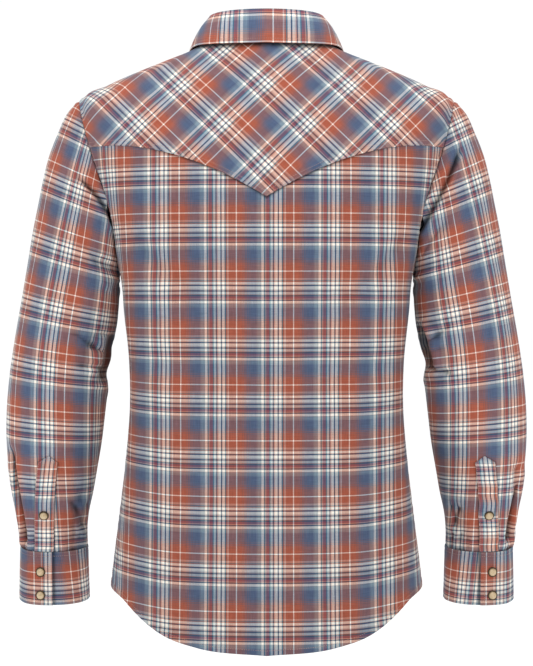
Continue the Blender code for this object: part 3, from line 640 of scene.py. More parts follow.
def sleeve_of(folds):
    """The outer surface of the +X sleeve with these folds, at degrees round it and at a ring's level."""
    def surface(angle, level):
        angle, level = np.broadcast_arrays(np.asarray(angle, float), np.asarray(level, float))
        across, back = oval(90 - angle, SLEEVE_POWER)
        first = SLEEVE["level"][0]
        armhole = body(armhole_angle(angle), armhole_level(angle))
        misfit = armhole - sleeve_ring(across, back, np.full_like(level, first))
        free = ease_in(-level, -first, -SLEEVE_CAP_LEVEL)[..., None]
        away = np.stack([across, -back, 0 * across], -1)
        raised = fold_height(folds, angle, level)[..., None]
        return sleeve_ring(across, back, level) + misfit * (1 - free) + away * raised * free

    return surface


def cuff_surface(angle, level):
    angle, level = np.broadcast_arrays(np.asarray(angle, float), np.asarray(level, float))
    ring = {name: np.interp(level, CUFF["level"], CUFF[name]) for name in ("outer_x", "inner_x", "depth")}
    across, back = oval(90 - angle, SLEEVE_POWER)
    x = (ring["outer_x"] + ring["inner_x"]) / 2 + (ring["outer_x"] - ring["inner_x"]) / 2 * across
    back_by = ring["depth"] * back
    return np.stack([x, CUFF_CENTRE_Y - back_by, level - WRIST_TILT * back_by], -1)


def cuff_lift(angle):
    """The cuff's upper end starts on the back, and comes down to the under layer round the outer side."""
    return LAYER * ease_in(angle, CUFF_END_ANGLE - 2 * CUFF_LAP_ANGLE, CUFF_END_ANGLE - CUFF_LAP_ANGLE)


# ---------------------------------------------------------------- cloth divided finely, with its seams


def shares(size, sewn_start=True, sewn_end=True, step=CLOTH_STEP):
    """Shares of a run of this size: even in the middle, and close together beside its sewn ends."""
    low = SEWN_STEPS if sewn_start else np.zeros(1)
    high = SEWN_STEPS if sewn_end else np.zeros(1)
    count = max(2, round((size - low[-1] - high[-1]) / step))
    middle = np.linspace(low[-1], size - high[-1], count + 1)
    return np.concatenate([low[:-1], middle, size - high[:-1][::-1]]) / size


def summed(steps, axis):
    """Running sums of steps, from 0."""
    return np.concatenate([np.zeros_like(np.take(steps, [0], axis)), np.cumsum(steps, axis)], axis)


def runs(points, axis):
    """How far along its column (axis 0) or row (axis 1) each point of a grid lies, in metres."""
    return summed(np.linalg.norm(np.diff(points, axis=axis), axis=-1), axis)


def from_ends(points, axis):
    """Distances to the first and the last edge of a grid, along its columns or rows."""
    run = runs(points, axis)
    return run, np.take(run, [-1], axis) - run


def facing(points):
    """The unit normals of a grid of points, outwards."""
    normal = np.cross(np.gradient(points, axis=1), np.gradient(points, axis=0))
    return normal / np.maximum(np.linalg.norm(normal, axis=-1, keepdims=True), 1e-12)


def raised(points, height):
    return points + facing(points) * height[..., None]


def hollow_shade(points):
    """How much darker cloth is where it lies in a hollow: 0 in the open, and 1 deep in a fold."""
    out = facing(points)
    shade = np.zeros(points.shape[:2])
    for reach in (1, 2, 4):
        wide = np.pad(points, ((reach, reach), (reach, reach), (0, 0)), mode="edge")
        ends, sides = slice(reach, -reach), 2 * reach
        about = (wide[:-sides, ends], wide[sides:, ends], wide[ends, :-sides], wide[ends, sides:])
        above = sum(((beside - points) * out).sum(-1) for beside in about)
        span = sum(np.linalg.norm(beside - points, axis=-1) for beside in about)
        shade += np.maximum(above, 0) / np.maximum(span, 1e-6) / 3
    return np.clip(shade * HOLLOW_SHADE, 0, 1)


def close_shade(distance, reach=0.0014):
    """The shadow that an upper piece's edge leaves on the cloth just outside it."""
    return bell(np.maximum(distance, 0), reach) * (distance > -0.001)


def seam_lines(shown, *wanted):
    """Lines on a face with their normals. Each is asked for as distances, one of them, and their axis."""
    out = facing(shown)
    made = []
    for away, distance, axis in wanted:
        away = away + np.zeros(shown.shape[:2])
        grid, normals, far = (np.swapaxes(a, 0, axis) for a in (shown, out, away))
        if far[0].mean() > far[-1].mean():
            grid, normals, far = grid[::-1], normals[::-1], far[::-1]
        index = np.array([np.interp(distance, column, np.arange(len(column))) for column in far.T])
        low = np.minimum(index.astype(int), len(grid) - 2)
        pick = np.arange(grid.shape[1])
        share = (index - low)[:, None]
        made.append((grid[low, pick] * (1 - share) + grid[low + 1, pick] * share, normals[low, pick]))
    return made


def groove(distance):
    """The line that a seam draws into the cloth."""
    return -SEAM_DEPTH * bell(distance, SEAM_WIDTH)


def felled(distance, width=FELL_WIDTH, height=FELL_HEIGHT):
    """The raised strip beside a seam where the allowance is sewn down under the cloth."""
    return height * ease_in(distance, 0.0006, 0.0020) * (1 - ease_in(distance, width, width + 0.0012))


def ripple(run, spacing, seed):
    """Uneven small waves along a seam, from -1 to 1."""
    turn = 2 * math.pi * run / spacing
    return np.sin(turn + 1.9 * np.sin(0.31 * turn + seed)) * (0.62 + 0.38 * np.sin(0.173 * turn + 2 * seed))


def pucker(run, away, depth, reach, spacing=0.014, seed=0.0):
    """The small waves that a line of stitches draws into the cloth beside it."""
    return depth * ripple(run, spacing, seed) * np.exp(-away / reach) * ease_in(away, 0, 0.002)


def creased(creases, across, up):
    """The height of a table of creases. Each runs from one place to another and dies out at both ends."""
    height = np.zeros(np.broadcast(across, up).shape)
    for x, z, end_x, end_z, width, depth, bow in zip(*creases.values()):
        run_x, run_z = end_x - x, end_z - z
        length = math.hypot(run_x, run_z)
        along = ((across - x) * run_x + (up - z) * run_z) / length**2
        inside = np.clip(along, 0, 1)
        aside = ((across - x) * run_z - (up - z) * run_x) / length - bow * 4 * inside * (1 - inside)
        beyond = (along - inside) * length
        reach = width * (0.75 + 0.5 * inside)
        near = np.hypot(aside, beyond * 0.6) / reach
        lip = LIP["share"] * bell(near - LIP["away"], LIP["width"])
        height += depth * (bell(near, 1) - lip) * ease_in(inside, -0.05, 0.18)
    return height


def shoulder_tip(turn):
    """How near the shoulder tip is at degrees round the armhole from it: 1 at the tip, and 0 well away."""
    return bell(turn, TIP_SPREAD) * (1 - ease_in(np.abs(turn), *TIP_ENDS))


# ---------------------------------------------------------------- panels of the body


def body_rows(bottom, top, armhole_turns, across):
    """Ring levels up from the hem, and beside the armhole to the top. Across is 1 at the side."""
    corner = ARMPIT_LEVEL - ROW_SAG * (1 - across**4)
    below = shares(0.40, sewn_end=False)[:-1, None]
    rise = armhole_level(armhole_turns)
    share = ((rise - rise[0]) / (rise[-1] - rise[0]))[:, None]
    return np.concatenate([bottom + (corner - bottom) * below, corner + (top - corner) * share])


def weft_height(points):
    """Metres up the cloth of the body from a white line of its weft, which is lifted at the sides."""
    z = points[..., 2]
    slack = WAIST_SLACK * np.sin(math.pi * np.clip((WEFT_START - z) / 0.35, 0, 1))
    sides = ease_in(np.abs(points[..., 0]), 0.11, 0.19) * ease_in(-z, 0.30, 0.62)
    return z - WEFT_START + slack - SIDE_LIFT * sides


def width_run(points, origin):
    """Metres across the cloth of the body: plain width in its middle, and along the cloth at its sides."""
    middle = (points[:, 1:] + points[:, :-1]) / 2
    step = np.diff(points, axis=1)
    level = np.hypot(step[..., 0], step[..., 1])
    turning = ease_in(np.abs(middle[..., 0]), 0.150, 0.190)
    along = np.abs(step[..., 0]) * (1 - turning) + level * turning
    run = summed(along, 1)
    at_origin = np.array([np.interp(origin, row[:, 0], there) for row, there in zip(points, run)])
    return run - at_origin[:, None] + origin


def hem_relief(points):
    """The narrow stitched hem, slightly roped."""
    up, _ = from_ends(points, 0)
    along = runs(points, 1)
    strip = HEM_HEIGHT * (1 - ease_in(up, HEM_WIDTH - 0.0004, HEM_WIDTH + 0.0010))
    rope = ROPE["height"] * np.sin(2 * math.pi * (along + ROPE["lean"] * up) / ROPE["pitch"])
    rope *= 1 - ease_in(up, 0.004, HEM_WIDTH + 0.001)
    return strip + rope + pucker(along, np.maximum(up - HEM_WIDTH, 0), 0.00035, 0.010, seed=1.3)


def make_back():
    across = 2 * shares(0.37) - 1
    seam_angles = across * armhole_angle(YOKE_CORNER)

    def above_yoke_edge(level):
        point = body(seam_angles, level)
        return point[:, 2] - yoke_edge_z(point[:, 0])

    edge = solved(above_yoke_edge, np.full_like(across, ARMHOLE_LEVEL), np.full_like(across, NECK_LEVEL))
    edge[[0, -1]] = armhole_level(YOKE_CORNER)
    turns = 180 + (YOKE_CORNER - 180) * shares(0.125, sewn_start=False)
    levels = body_rows(hem_level(across * 90, BACK_TAIL_DROP), edge + YOKE_LAP, turns, across)
    angles = across * side_angle(np.minimum(levels[:, :1], armhole_level(40.0)), ARMHOLE_BACK_REACH)
    points = body(angles, levels)
    left, right = from_ends(points, 1)
    up, down = from_ends(points, 0)
    side = np.minimum(left, right)
    under = YOKE_LAP_DEPTH * (1 - ease_in(down, YOKE_LAP + 0.0005, YOKE_LAP + 0.0040))
    height = hem_relief(points) + groove(side) + felled(side) - under
    height += pucker(up, side, 0.0004, 0.012, seed=0.4)
    height += pucker(left, np.maximum(down - YOKE_LAP, 0), 0.0004, 0.014, spacing=0.016, seed=2.2)
    height += creased(BACK_CREASES, points[..., 0], points[..., 2])
    grain = np.stack([width_run(points, 0.0) - WARP_START, weft_height(points)], -1)
    shown = raised(points, height)
    shade = close_shade(down - YOKE_LAP, 0.0022) + BACK_SHADE["top"]
    shade = shade + BACK_SHADE["per_metre"] * (WEFT_START - points[..., 2])
    made = cloth_piece("back_cloth", shown, grain, shade=shade)
    declare_sheet(made, "back", flat=(0.54, 0.64), held="hung", area=0.288)
    lines = seam_lines(shown, (up, HEM_STITCH, 0), (left, SIDE_STITCH, 1), (right, SIDE_STITCH, 1))
    sew("back_stitches", lines)
    return seam_angles, edge


def make_yoke(seam_angles, seam_levels):
    """The yoke, cut on the bias. Its pointed lower edge lies on the back and is stitched down."""
    over_back = YOKE_CORNER * (1 - np.linspace(0, 1, 27))[1:]
    over_front = -SHOULDER_CORNER * shares(0.035, sewn_start=False)[1:]
    turns = np.concatenate([over_back, over_front])
    over_angles, over_levels = armhole_angle(turns), armhole_level(turns)
    angles = np.concatenate([-over_angles[::-1], seam_angles, over_angles])
    outer = np.concatenate([over_levels[::-1], seam_levels, over_levels])
    share = shares(0.19, sewn_end=False)[:, None]
    levels = outer + (NECK_LEVEL - outer) * share
    points = body(np.broadcast_to(angles, levels.shape), levels)

    # up the cloth: what the surface climbs, without what it runs sideways
    climb = np.hypot(*np.moveaxis(np.diff(points, axis=0)[..., 1:], -1, 0))
    rise = summed(climb, 0)
    first = len(over_angles)
    beside = np.hypot(*np.moveaxis(np.diff(points[0], axis=0)[..., 1:], -1, 0))
    start = points[0, :, 2].copy()
    start[:first] = start[first] + np.cumsum(beside[:first][::-1])[::-1]
    last = first + len(seam_angles) - 1
    start[last + 1:] = start[last] + np.cumsum(beside[last:])
    up = start + rise
    x = points[..., 0]
    grain = np.stack([(x - up) / math.sqrt(2), (x + up) / math.sqrt(2)], -1) * YOKE_EASE - YOKE_START

    away, _ = from_ends(points, 0)
    left, right = from_ends(points, 1)
    columns = np.arange(len(angles))
    on_back = ((columns >= first) & (columns <= last)).astype(float)
    lap = YOKE_RAISE * (1 - ease_in(away, 0.0070, 0.0095)) * on_back
    lap -= 0.0006 * bell(away, 0.0007) * on_back
    seam = (groove(away) + felled(away)) * (1 - on_back) + groove(np.minimum(left, right))
    height = lap + seam + felled(np.minimum(left, right))
    height += pucker(left, away, 0.0004, 0.013, spacing=0.015, seed=3.1)
    tip = shoulder_tip(turns)
    tip = np.concatenate([tip[::-1], 0 * seam_angles, tip])
    dip = YOKE_DIP["depth"] * bell(away - YOKE_DIP["away"], YOKE_DIP["reach"])
    height += tip * (TIP_RISE * bell(away, TIP_REACH) - dip)
    height += creased(YOKE_CREASES, x, up)
    leaf = np.interp(np.abs(angles), LEAF_EDGE["edge_angle"], LEAF_EDGE["edge_level"])
    # painted shade: the collar leaf's shadow just below its edge and full shade under it, with the yoke's
    # painted light
    shade = 0.65 * close_shade(leaf - levels, 0.0032) + (levels > leaf) + YOKE_SHADE
    shown = raised(points, height)
    made = cloth_piece("yoke_cloth", shown, grain, shade=shade)
    declare_sheet(made, "back_yoke", flat=(0.53, 0.30), held="draped", area=0.0963)
    lower = shown[:, first:last + 1], away[:, first:last + 1]
    lines = seam_lines(lower[0], (lower[1], YOKE_STITCHES[0], 0), (lower[1], YOKE_STITCHES[1], 0))
    sew("yoke_stitches", lines + seam_lines(shown, (left, SIDE_STITCH, 1), (right, SIDE_STITCH, 1)))


def front_angle(level, x):
    """Degrees round the body of the line at that x down the front."""
    return 180 - np.degrees(np.arcsin(x / read(BODY, "level", level)["half_width"]))


def make_front(side):
    """A front. The right one, which is under the left one, runs past centre front."""
    mirrored = side == "left"
    columns = shares(0.175, sewn_end=False)
    past = np.array([] if mirrored else [0.011, 0.006, 0.0, -0.006, -0.011, -FRONT_EDGE_X])
    edge_at_hem = front_angle(HEM_SIDE_Z, FRONT_EDGE_X)
    hem_angles = np.concatenate([90 + (edge_at_hem - 90) * columns, front_angle(HEM_SIDE_Z, past)])
    hem = hem_level(hem_angles, FRONT_TAIL_DROP)
    corner = armhole_level(SHOULDER_CORNER)
    inward = np.concatenate([columns, np.ones(len(past))])
    turns = 180 + (SHOULDER_CORNER - 180) * shares(0.15, sewn_start=False, sewn_end=False)
    lower = body_rows(hem, np.full_like(hem, corner), turns, 1 - inward)
    climb = shares(0.15, sewn_start=False)[1:, None]
    levels = np.concatenate([lower, corner + (NECK_LEVEL - corner) * climb + 0 * hem])
    edge = levels[:, :1]
    seam = np.where(edge < corner, 180 - side_angle(edge, ARMHOLE_FRONT_REACH), SHOULDER_SEAM_ANGLE)
    angles = seam + (front_angle(levels[:, : len(columns)], FRONT_EDGE_X) - seam) * columns
    angles = np.concatenate([angles, front_angle(levels[:, len(columns):], past)], 1)
    points = body(angles, levels)
    from_side, _ = from_ends(points, 1)
    up, _ = from_ends(points, 0)
    height = hem_relief(points) + groove(from_side) + pucker(up, from_side, 0.0004, 0.012, seed=0.9)
    height += creased(FRONT_CREASES[side], points[..., 0], points[..., 2])
    if not mirrored:
        height -= 0.0003 * ease_in(-points[..., 0], -0.016, -0.010) * (points[..., 1] > 0)
    run = from_side[:, -1:] - from_side + points[:, -1:, 0]
    grain = np.stack([run if mirrored else -run, weft_height(points)], -1)
    shown = raised(points, height)
    made = cloth_piece(f"front_cloth_{side}", shown, grain, mirrored=mirrored)
    declare_sheet(made, f"front_{side}", held="hung", **FRONT_CUTS[side])
    lines = seam_lines(shown, (up, HEM_STITCH, 0), (from_side, SIDE_STITCH, 1))
    sew(f"front_stitches_{side}", lines, mirrored)
    return levels[:, -1] if mirrored else levels[:, len(columns) - 1]


def make_band(levels):
    """The front band, stitched down both edges."""
    levels = np.append(levels[levels < NECK_LEVEL - 2 * BAND_TOP_SET], NECK_LEVEL - BAND_TOP_SET)[:, None]
    x = BAND_HALF_WIDTH * (1 - 2 * shares(2 * BAND_HALF_WIDTH, step=0.004))
    points = moved_out(body, front_angle(levels + 0 * x, x), levels + 0 * x, BAND_LIFT)
    aside = BAND_HALF_WIDTH - np.abs(x) + 0 * levels
    up, _ = from_ends(points, 0)
    height = rolled_edge(aside) + pucker(up, np.abs(aside - 0.006), 0.0003, 0.006, seed=4.0)
    grain = np.stack([BAND_WARP - x + 0 * levels, weft_height(points)], -1)
    shown = raised(points, height)
    made = cloth_piece("band_cloth", shown, grain, wall=BAND_WALL)
    declare_sheet(made, "front_band", flat=(0.038, 0.68), held="hung")
    left, right = from_ends(points, 1)
    sew("band_stitches", seam_lines(shown, (left, EDGE_STITCH, 1), (right, EDGE_STITCH, 1)))
    return points


def rolled_edge(distance):
    """A turned edge: the cloth rolls under over its last millimetre, inside a line of stitches."""
    dip = STITCH_DIP["depth"] * bell(distance - EDGE_STITCH, STITCH_DIP["reach"])
    return -EDGE_ROLL["depth"] * bell(distance, EDGE_ROLL["reach"]) - dip


# ---------------------------------------------------------------- making the cloth's objects


def add_piece(name, mesh, finish, slot):
    """A piece of the shirt from its mesh, in one finish."""
    mesh.materials.clear()
    mesh.materials.append(FINISHES[finish])
    piece = bpy.data.objects.new(name, mesh)
    bpy.context.scene.collection.objects.link(piece)
    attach(piece, "root")
    return piece


def declare_sheet(piece, node, flat, held, area=None):
    """Hides the solid that the cloth stands for. How the cloth was cut (flat, held and area) is not used.
    """
    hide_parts(node)


def cloth_piece(name, points, grain, mirrored=False, around=False, wall=CLOTH_WALL, shade=0.0):
    """A thin wall of cloth on a grid of points. Its UV map is metres along its grain."""
    rows, columns = points.shape[:2]
    ring = columns - 1 if around else columns
    dark = np.clip(hollow_shade(points) + shade, LEAST_SHADE, 1)[:, :ring]
    if mirrored:
        points = points * (-1, 1, 1)
    row, column = (place.ravel() for place in np.mgrid[0:rows - 1, 0:columns - 1])
    corners = [(row, column), (row, column + 1), (row + 1, column + 1), (row + 1, column)]
    if mirrored:
        corners = corners[::-1]
    faces = np.stack([r * ring + c % ring for r, c in corners], -1)
    mesh = bpy.data.meshes.new(name)
    mesh.from_pydata(points[:, :ring].reshape(-1, 3).tolist(), [], faces.tolist())
    places = np.stack([grain[r, c] for r, c in corners], 1)
    mesh.uv_layers.new(name="grain").data.foreach_set("uv", places.astype(np.float32).ravel())
    dark = dark.astype(np.float32).ravel()
    mesh.attributes.new("shade", "FLOAT", "POINT").data.foreach_set("value", dark)
    mesh.shade_smooth()
    made = add_piece(name, mesh, "plaid_cloth", "plaid_cloth")
    solid = made.modifiers.new("wall", "SOLIDIFY")
    solid.thickness = wall
    solid.offset = -1
    solid.use_even_offset = False
    return made


def sew(name, lines, mirrored=False):
    """Stitches along lines, in one mesh. Each is a short thread that dips into the cloth at both ends."""
    rings = []
    for line, normals in lines:
        run = runs(line, 0)
        starts = np.arange(0.4 * STITCH_PITCH, run[-1] - STITCH_PITCH, STITCH_PITCH)
        stations = starts[:, None] + STITCH_LENGTH * np.array([0, 0.5, 1])
        middle = np.stack([np.interp(stations, run, part) for part in line.T], -1)
        up = np.stack([np.interp(stations, run, part) for part in normals.T], -1)
        up /= np.linalg.norm(up, axis=-1, keepdims=True)
        ahead = middle[:, 2:] - middle[:, :1]
        ahead = ahead / np.linalg.norm(ahead, axis=-1, keepdims=True)
        side = np.cross(up, ahead + 0 * up)
        radius = THREAD_RADIUS * np.array([0.45, 1, 0.45])[:, None]
        middle = middle + up * STITCH_RISE * np.array([-0.8, 1, -0.8])[:, None]
        rings.append(np.stack([middle + side * radius, middle + up * radius, middle - side * radius,
                               middle - up * radius], 2))
    rings = np.concatenate(rings)
    if mirrored:
        rings = rings[:, :, ::-1] * (-1, 1, 1)
    steps = [(i, (i + 1) % 4, 4 + (i + 1) % 4, 4 + i) for i in range(4)]
    sides = [[4 * k + corner for corner in step] for k in (0, 1) for step in steps]
    one = np.array(sides + [[3, 2, 1, 0], [8, 9, 10, 11]])[:, ::-1]
    faces = one[None] + 12 * np.arange(len(rings))[:, None, None]
    mesh = bpy.data.meshes.new(name)
    mesh.from_pydata(rings.reshape(-1, 3).tolist(), [], faces.reshape(-1, 4).tolist())
    mesh.shade_smooth()
    add_piece(name, mesh, "thread", "plaid_cloth")


# ---------------------------------------------------------------- collar


def make_collar(neck_angles):
    edge = neck_angles[-1]
    before = [np.linspace(edge - 360, -180, 9), np.linspace(-180, neck_angles[0], 9)[1:-1]]
    after = [np.linspace(edge, 180, 9)[1:], np.linspace(180, 360 - edge, 9)[1:]]
    angles = np.concatenate([*before, neck_angles, *after])
    lift = LAYER * ease_in(-angles, STAND_LIFT_ANGLE, edge)
    foot, top = body(angles, NECK_LEVEL), stand_top(angles)
    share = shares(0.036, step=0.003)[:, None, None]
    points = foot + (top - foot) * share + stand_directions(angles)[0] * lift[:, None]
    along, up = runs(points, 1), runs(points, 0)
    grain = np.stack([along - STAND_WARP, up], -1)
    shown = cloth_piece("stand_cloth", points, grain, wall=COLLAR_WALL)
    declare_sheet(shown, "collar_stand", flat=(0.53, 0.034), held="folded", area=0.0155)

    side = np.abs(neck_angles)
    hang = read(LEAF_EDGE, "fold_angle", side)
    lower_angles = np.sign(neck_angles) * hang["edge_angle"]
    lower = moved_out(body, lower_angles, hang["edge_level"], hang["lift"][:, None])
    fold = stand_top(neck_angles)
    face, rise = stand_directions(neck_angles)
    rows = []
    for turn in np.linspace(180, 0, 11):
        out = LEAF_ROLL * (1 + math.cos(math.radians(turn))) - WALL
        rows.append(fold + face * out + rise * (2 * SEAM_GAP + LEAF_ROLL * math.sin(math.radians(turn))))
    outer = rows[-1]
    for fall in shares(0.047, sewn_start=False, step=0.003)[1:]:
        bulge = LEAF_BULGE * math.sin(math.pi * fall)
        rows.append(outer + (lower - outer) * fall + (face + rise) * bulge)
    points = np.array(rows)[::-1]
    up, _ = from_ends(points, 0)
    left, right = from_ends(points, 1)
    ends = np.minimum(left, right)
    height = rolled_edge(up) + rolled_edge(ends)
    height += pucker(left, np.abs(up - EDGE_STITCH), 0.0003, 0.009, seed=5.0)
    middle = points.shape[1] // 2
    across = left - left[:, middle:middle + 1] + points[0, middle, 0]
    grain = np.stack([(LEAF_WARP - across) * LEAF_EASE["across"], (up - LEAF_WEFT) * LEAF_EASE["up"]], -1)
    shown = raised(points, height)
    made = cloth_piece("collar_cloth", shown, grain, wall=COLLAR_WALL, shade=LEAF_SHADE)
    declare_sheet(made, "collar_leaf", flat=(0.52, 0.074), held="folded", area=0.0324)
    lines = seam_lines(shown, (up, EDGE_STITCH, 0))
    lines += seam_lines(shown[:18], (left[:18], EDGE_STITCH, 1), (right[:18], EDGE_STITCH, 1))
    sew("collar_stitches", lines)


# ---------------------------------------------------------------- sleeves, plackets and cuffs


def weft_slant(z):
    """How much a weft line of a sleeve rises for each metre outwards: more where the arm leans out."""
    return SLANT_AT_HEAD * np.clip((z - SLANT_FROM_Z) / SLANT_RUN, 0, SLANT_MOST) ** SLANT_POWER


def sleeve_grain(points, angles, side):
    """Metres across and up the cloth of a sleeve. Across is square to the arm, from its back line."""
    slant = weft_slant(points[..., 2])
    axis = np.stack([slant, 0 * slant, -np.ones_like(slant)], -1) / np.hypot(1, slant)[..., None]
    back, front = (angles > -10) & (angles < 170), (angles > -170) & (angles < 10)
    inward = smooth(SLEEVE_BACK_LINE["z"], SLEEVE_BACK_LINE["x"], points[..., 2]) - points[..., 0]

    def arc_from_line(depth_share):
        step = np.diff(points, axis=1)
        step[..., 1] *= depth_share
        square = step - (step * axis[:, :-1]).sum(-1, keepdims=True) * axis[:, :-1]
        arc = summed(np.linalg.norm(square, axis=-1), 1)
        return arc - np.array([np.interp(0, *rows) for rows in zip(inward[:, back], arc[:, back])])[:, None]

    # the head's back is taken flat, and round the outer side that gives way to the cloth's own run
    seen, plain = arc_from_line(ease_in(-points[:, :-1, 2], *DEPTH_COUNTS)), arc_from_line(1.0)
    # on the front of the head the run is kept straight down the arm too
    outer = points[:, len(angles) // 2, 2]
    rows = zip(inward[:, front], plain[:, front])
    gap = -np.array([np.interp(0, line[::-1], arc[::-1]) for line, arc in rows])
    gap -= np.interp(HEAD_GRAIN_Z, outer[::-1], gap[::-1])
    plain += np.where(outer > HEAD_GRAIN_Z, gap, 0)[:, None] * ease_in(-angles, *GAP_SPREAD)
    arc = seen + (plain - seen) * ease_in(-angles, *FLAT_TO_PLAIN)
    across = arc - LEFT_SLEEVE_WARP if side == "left" else -arc
    level = points[..., 2] - slant * (points[..., 0] - SLEEVE_MIDDLE_X)
    inside = np.maximum(WEFT_GAP**2 + 4 * WEFT_GAP_LOSS * (level - SLEEVE_WEFT_START), 0)
    count = (WEFT_GAP - np.sqrt(inside)) / (2 * WEFT_GAP_LOSS)
    return np.stack([across, -count * WEFT_REPEAT], -1)


def sleeve_creased(creases, angles, levels):
    """Creases given in degrees round the sleeve and in ring levels."""
    height = np.zeros(np.broadcast(angles, levels).shape)
    for angle, level, end_angle, end_level, width, depth, bow in zip(*creases.values()):
        ring = read(SLEEVE, "level", (level + end_level) / 2)
        reach = math.hypot(ring["outer_x"] - ring["inner_x"], (level + end_level) / 2 - ring["inner_z"]) / 2
        metres = math.pi / 180 * reach
        turned = (angles - angle + 180) % 360 - 180
        crease = table(CREASE, [(0, level, (end_angle - angle) * metres, end_level, width, depth, bow)])
        height += creased(crease, turned * metres, levels)
    return height


def make_sleeve(side):
    surface = sleeve_of(SLEEVE_FOLDS[side])
    mirrored = side == "left"
    angles = np.linspace(-180, 180, SLEEVE_COLUMNS + 1)
    first, last = SLEEVE["level"][0], SLEEVE["level"][-1]
    head = first + (SLEEVE_CAP_LEVEL - first) * shares(0.082, sewn_end=False, step=SLEEVE_STEP)
    down_arm = shares(0.497, sewn_start=False, step=SLEEVE_STEP)[1:]
    arm = SLEEVE_CAP_LEVEL + (last - SLEEVE_CAP_LEVEL) * down_arm
    levels = np.concatenate([head, arm])[:, None] + 0 * angles
    around = angles + 0 * levels
    points = surface(around, levels) + (SEAM_GAP, 0, 0)
    down, up = from_ends(points, 0)
    along = runs(points, 1)
    height = groove(down) + pucker(along, down, 0.0005, 0.016, spacing=0.017, seed=0.2)
    height += sleeve_creased(SLEEVE_CREASES[side], around, levels)
    on_back = ease_in(around, -10, 10) * (1 - ease_in(around, 175, 180))
    clear = on_back * (1 - ease_in(around, 162, 180))
    height += creased(SLEEVE_BACK_CREASES[side], points[..., 0], points[..., 2]) * clear
    rise = TIP_RISE * bell(down, TIP_REACH)
    rise += HEAD_RISE * ease_in(down, 0, 0.006) * bell(down, HEAD_REACH)
    height += shoulder_tip(around) * rise
    height += 0.0008 * ripple(along, 0.016, 1.0 if mirrored else 2.4) * bell(up - 0.012, 0.014)
    height -= 0.0010 * (1 - ease_in(up, 0, 0.004))
    out = facing(points)
    out[:, 0] = out[:, -1] = (out[:, 0] + out[:, -1]) / 2
    height[:, 0] = height[:, -1] = (height[:, 0] + height[:, -1]) / 2
    shaped = points + out * height[..., None]
    tuck = np.array([0.0015, 0.0030, 0.0050])[:, None, None]
    inside = shaped[-1] - out[-1] * 0.0004 - tuck * (0, 0, 1)
    grain = sleeve_grain(points, angles, side)
    shaped = np.concatenate([shaped, inside])
    grain = np.concatenate([grain, grain[-1:] - tuck * (0, 1)])
    _, middle, degree = placket_line(surface, levels)
    beside = np.abs(around - middle) * degree - PLACKET_WIDTH / 2
    shade = 0.7 * close_shade(beside) * (levels < PLACKET_POINT["level"] - 0.6 * PLACKET_SHOULDER)
    shade += np.maximum(creased(SLEEVE_SHADOWS[side], points[..., 0], points[..., 2]), 0) * on_back
    amount, start, whole = INNER_SHADE[side]
    shade += amount * ease_in(np.abs(around), *INNER_ANGLES) * ease_in(-levels, start, whole)
    shade = np.concatenate([shade, shade[-1:] * np.ones((3, 1))])
    made = cloth_piece(f"sleeve_cloth_{side}", shaped, grain, mirrored=mirrored, around=True, shade=shade)
    declare_sheet(made, f"sleeve_{side}", flat=(0.436, 0.60), held="hung", area=0.188)
    return surface


def placket_line(surface, levels):
    """Shares of the placket's length, the angle of its middle line there, and the metres in a degree."""
    run = (levels - PLACKET_FOOT["level"]) / (PLACKET_POINT["level"] - PLACKET_FOOT["level"])
    middle = PLACKET_FOOT["angle"] + (PLACKET_POINT["angle"] - PLACKET_FOOT["angle"]) * run
    degree = np.linalg.norm(surface(middle + 0.5, levels) - surface(middle - 0.5, levels), axis=-1)
    return run, middle, degree


def make_placket(side, surface):
    mirrored = side == "left"
    half = np.array([0, 0.04, 0.08, 0.14, 0.28, 0.46, 0.64, 0.82])
    across = np.concatenate([1 - half, [0], half[::-1] - 1])
    top = PLACKET_POINT["level"] + PLACKET_RISE - PLACKET_SHOULDER * np.abs(across)
    share = shares(0.125, step=0.0026)[:, None]
    levels = PLACKET_FOOT["level"] + (top - PLACKET_FOOT["level"]) * share
    run, middle, degree = placket_line(surface, levels)
    wave = PLACKET_WAVE[side] * ripple(levels + 0 * across, 0.034, 0.7)
    wave = wave * (1 - run) * ease_in(run, 0.02, 0.12)
    angles = middle + (across * PLACKET_WIDTH / 2 + wave) / degree
    points = moved_out(surface, angles, levels, PLACKET_LIFT, SLEEVE_FACING) + (SEAM_GAP, 0, 0)
    left, right = from_ends(points, 1)
    aside = np.minimum(left, right)
    up, down = from_ends(points, 0)
    height = rolled_edge(np.minimum(aside, down))
    height += pucker(up, aside, 0.0004, 0.006, spacing=0.011, seed=1.9)
    height += 0.0012 * np.abs(wave) / 0.0015 * (1 - run) + 0.0004
    sign = 1 if mirrored else -1
    level = points[..., 2] - PLACKET_WEFT[side]
    grain = np.stack([PLACKET_WARP + sign * across * PLACKET_WIDTH / 2 + 0 * levels, sign * level], -1)
    shown = raised(points, height)
    made = cloth_piece(f"placket_cloth_{side}", shown, grain, mirrored=mirrored, wall=PLACKET_WALL)
    declare_sheet(made, f"sleeve_placket_{side}", flat=(0.026, 0.131), held="folded")
    lines = seam_lines(shown, (left, TRIM_STITCH, 1), (right, TRIM_STITCH, 1), (down, TRIM_STITCH, 0))
    sew(f"placket_stitches_{side}", lines, mirrored)


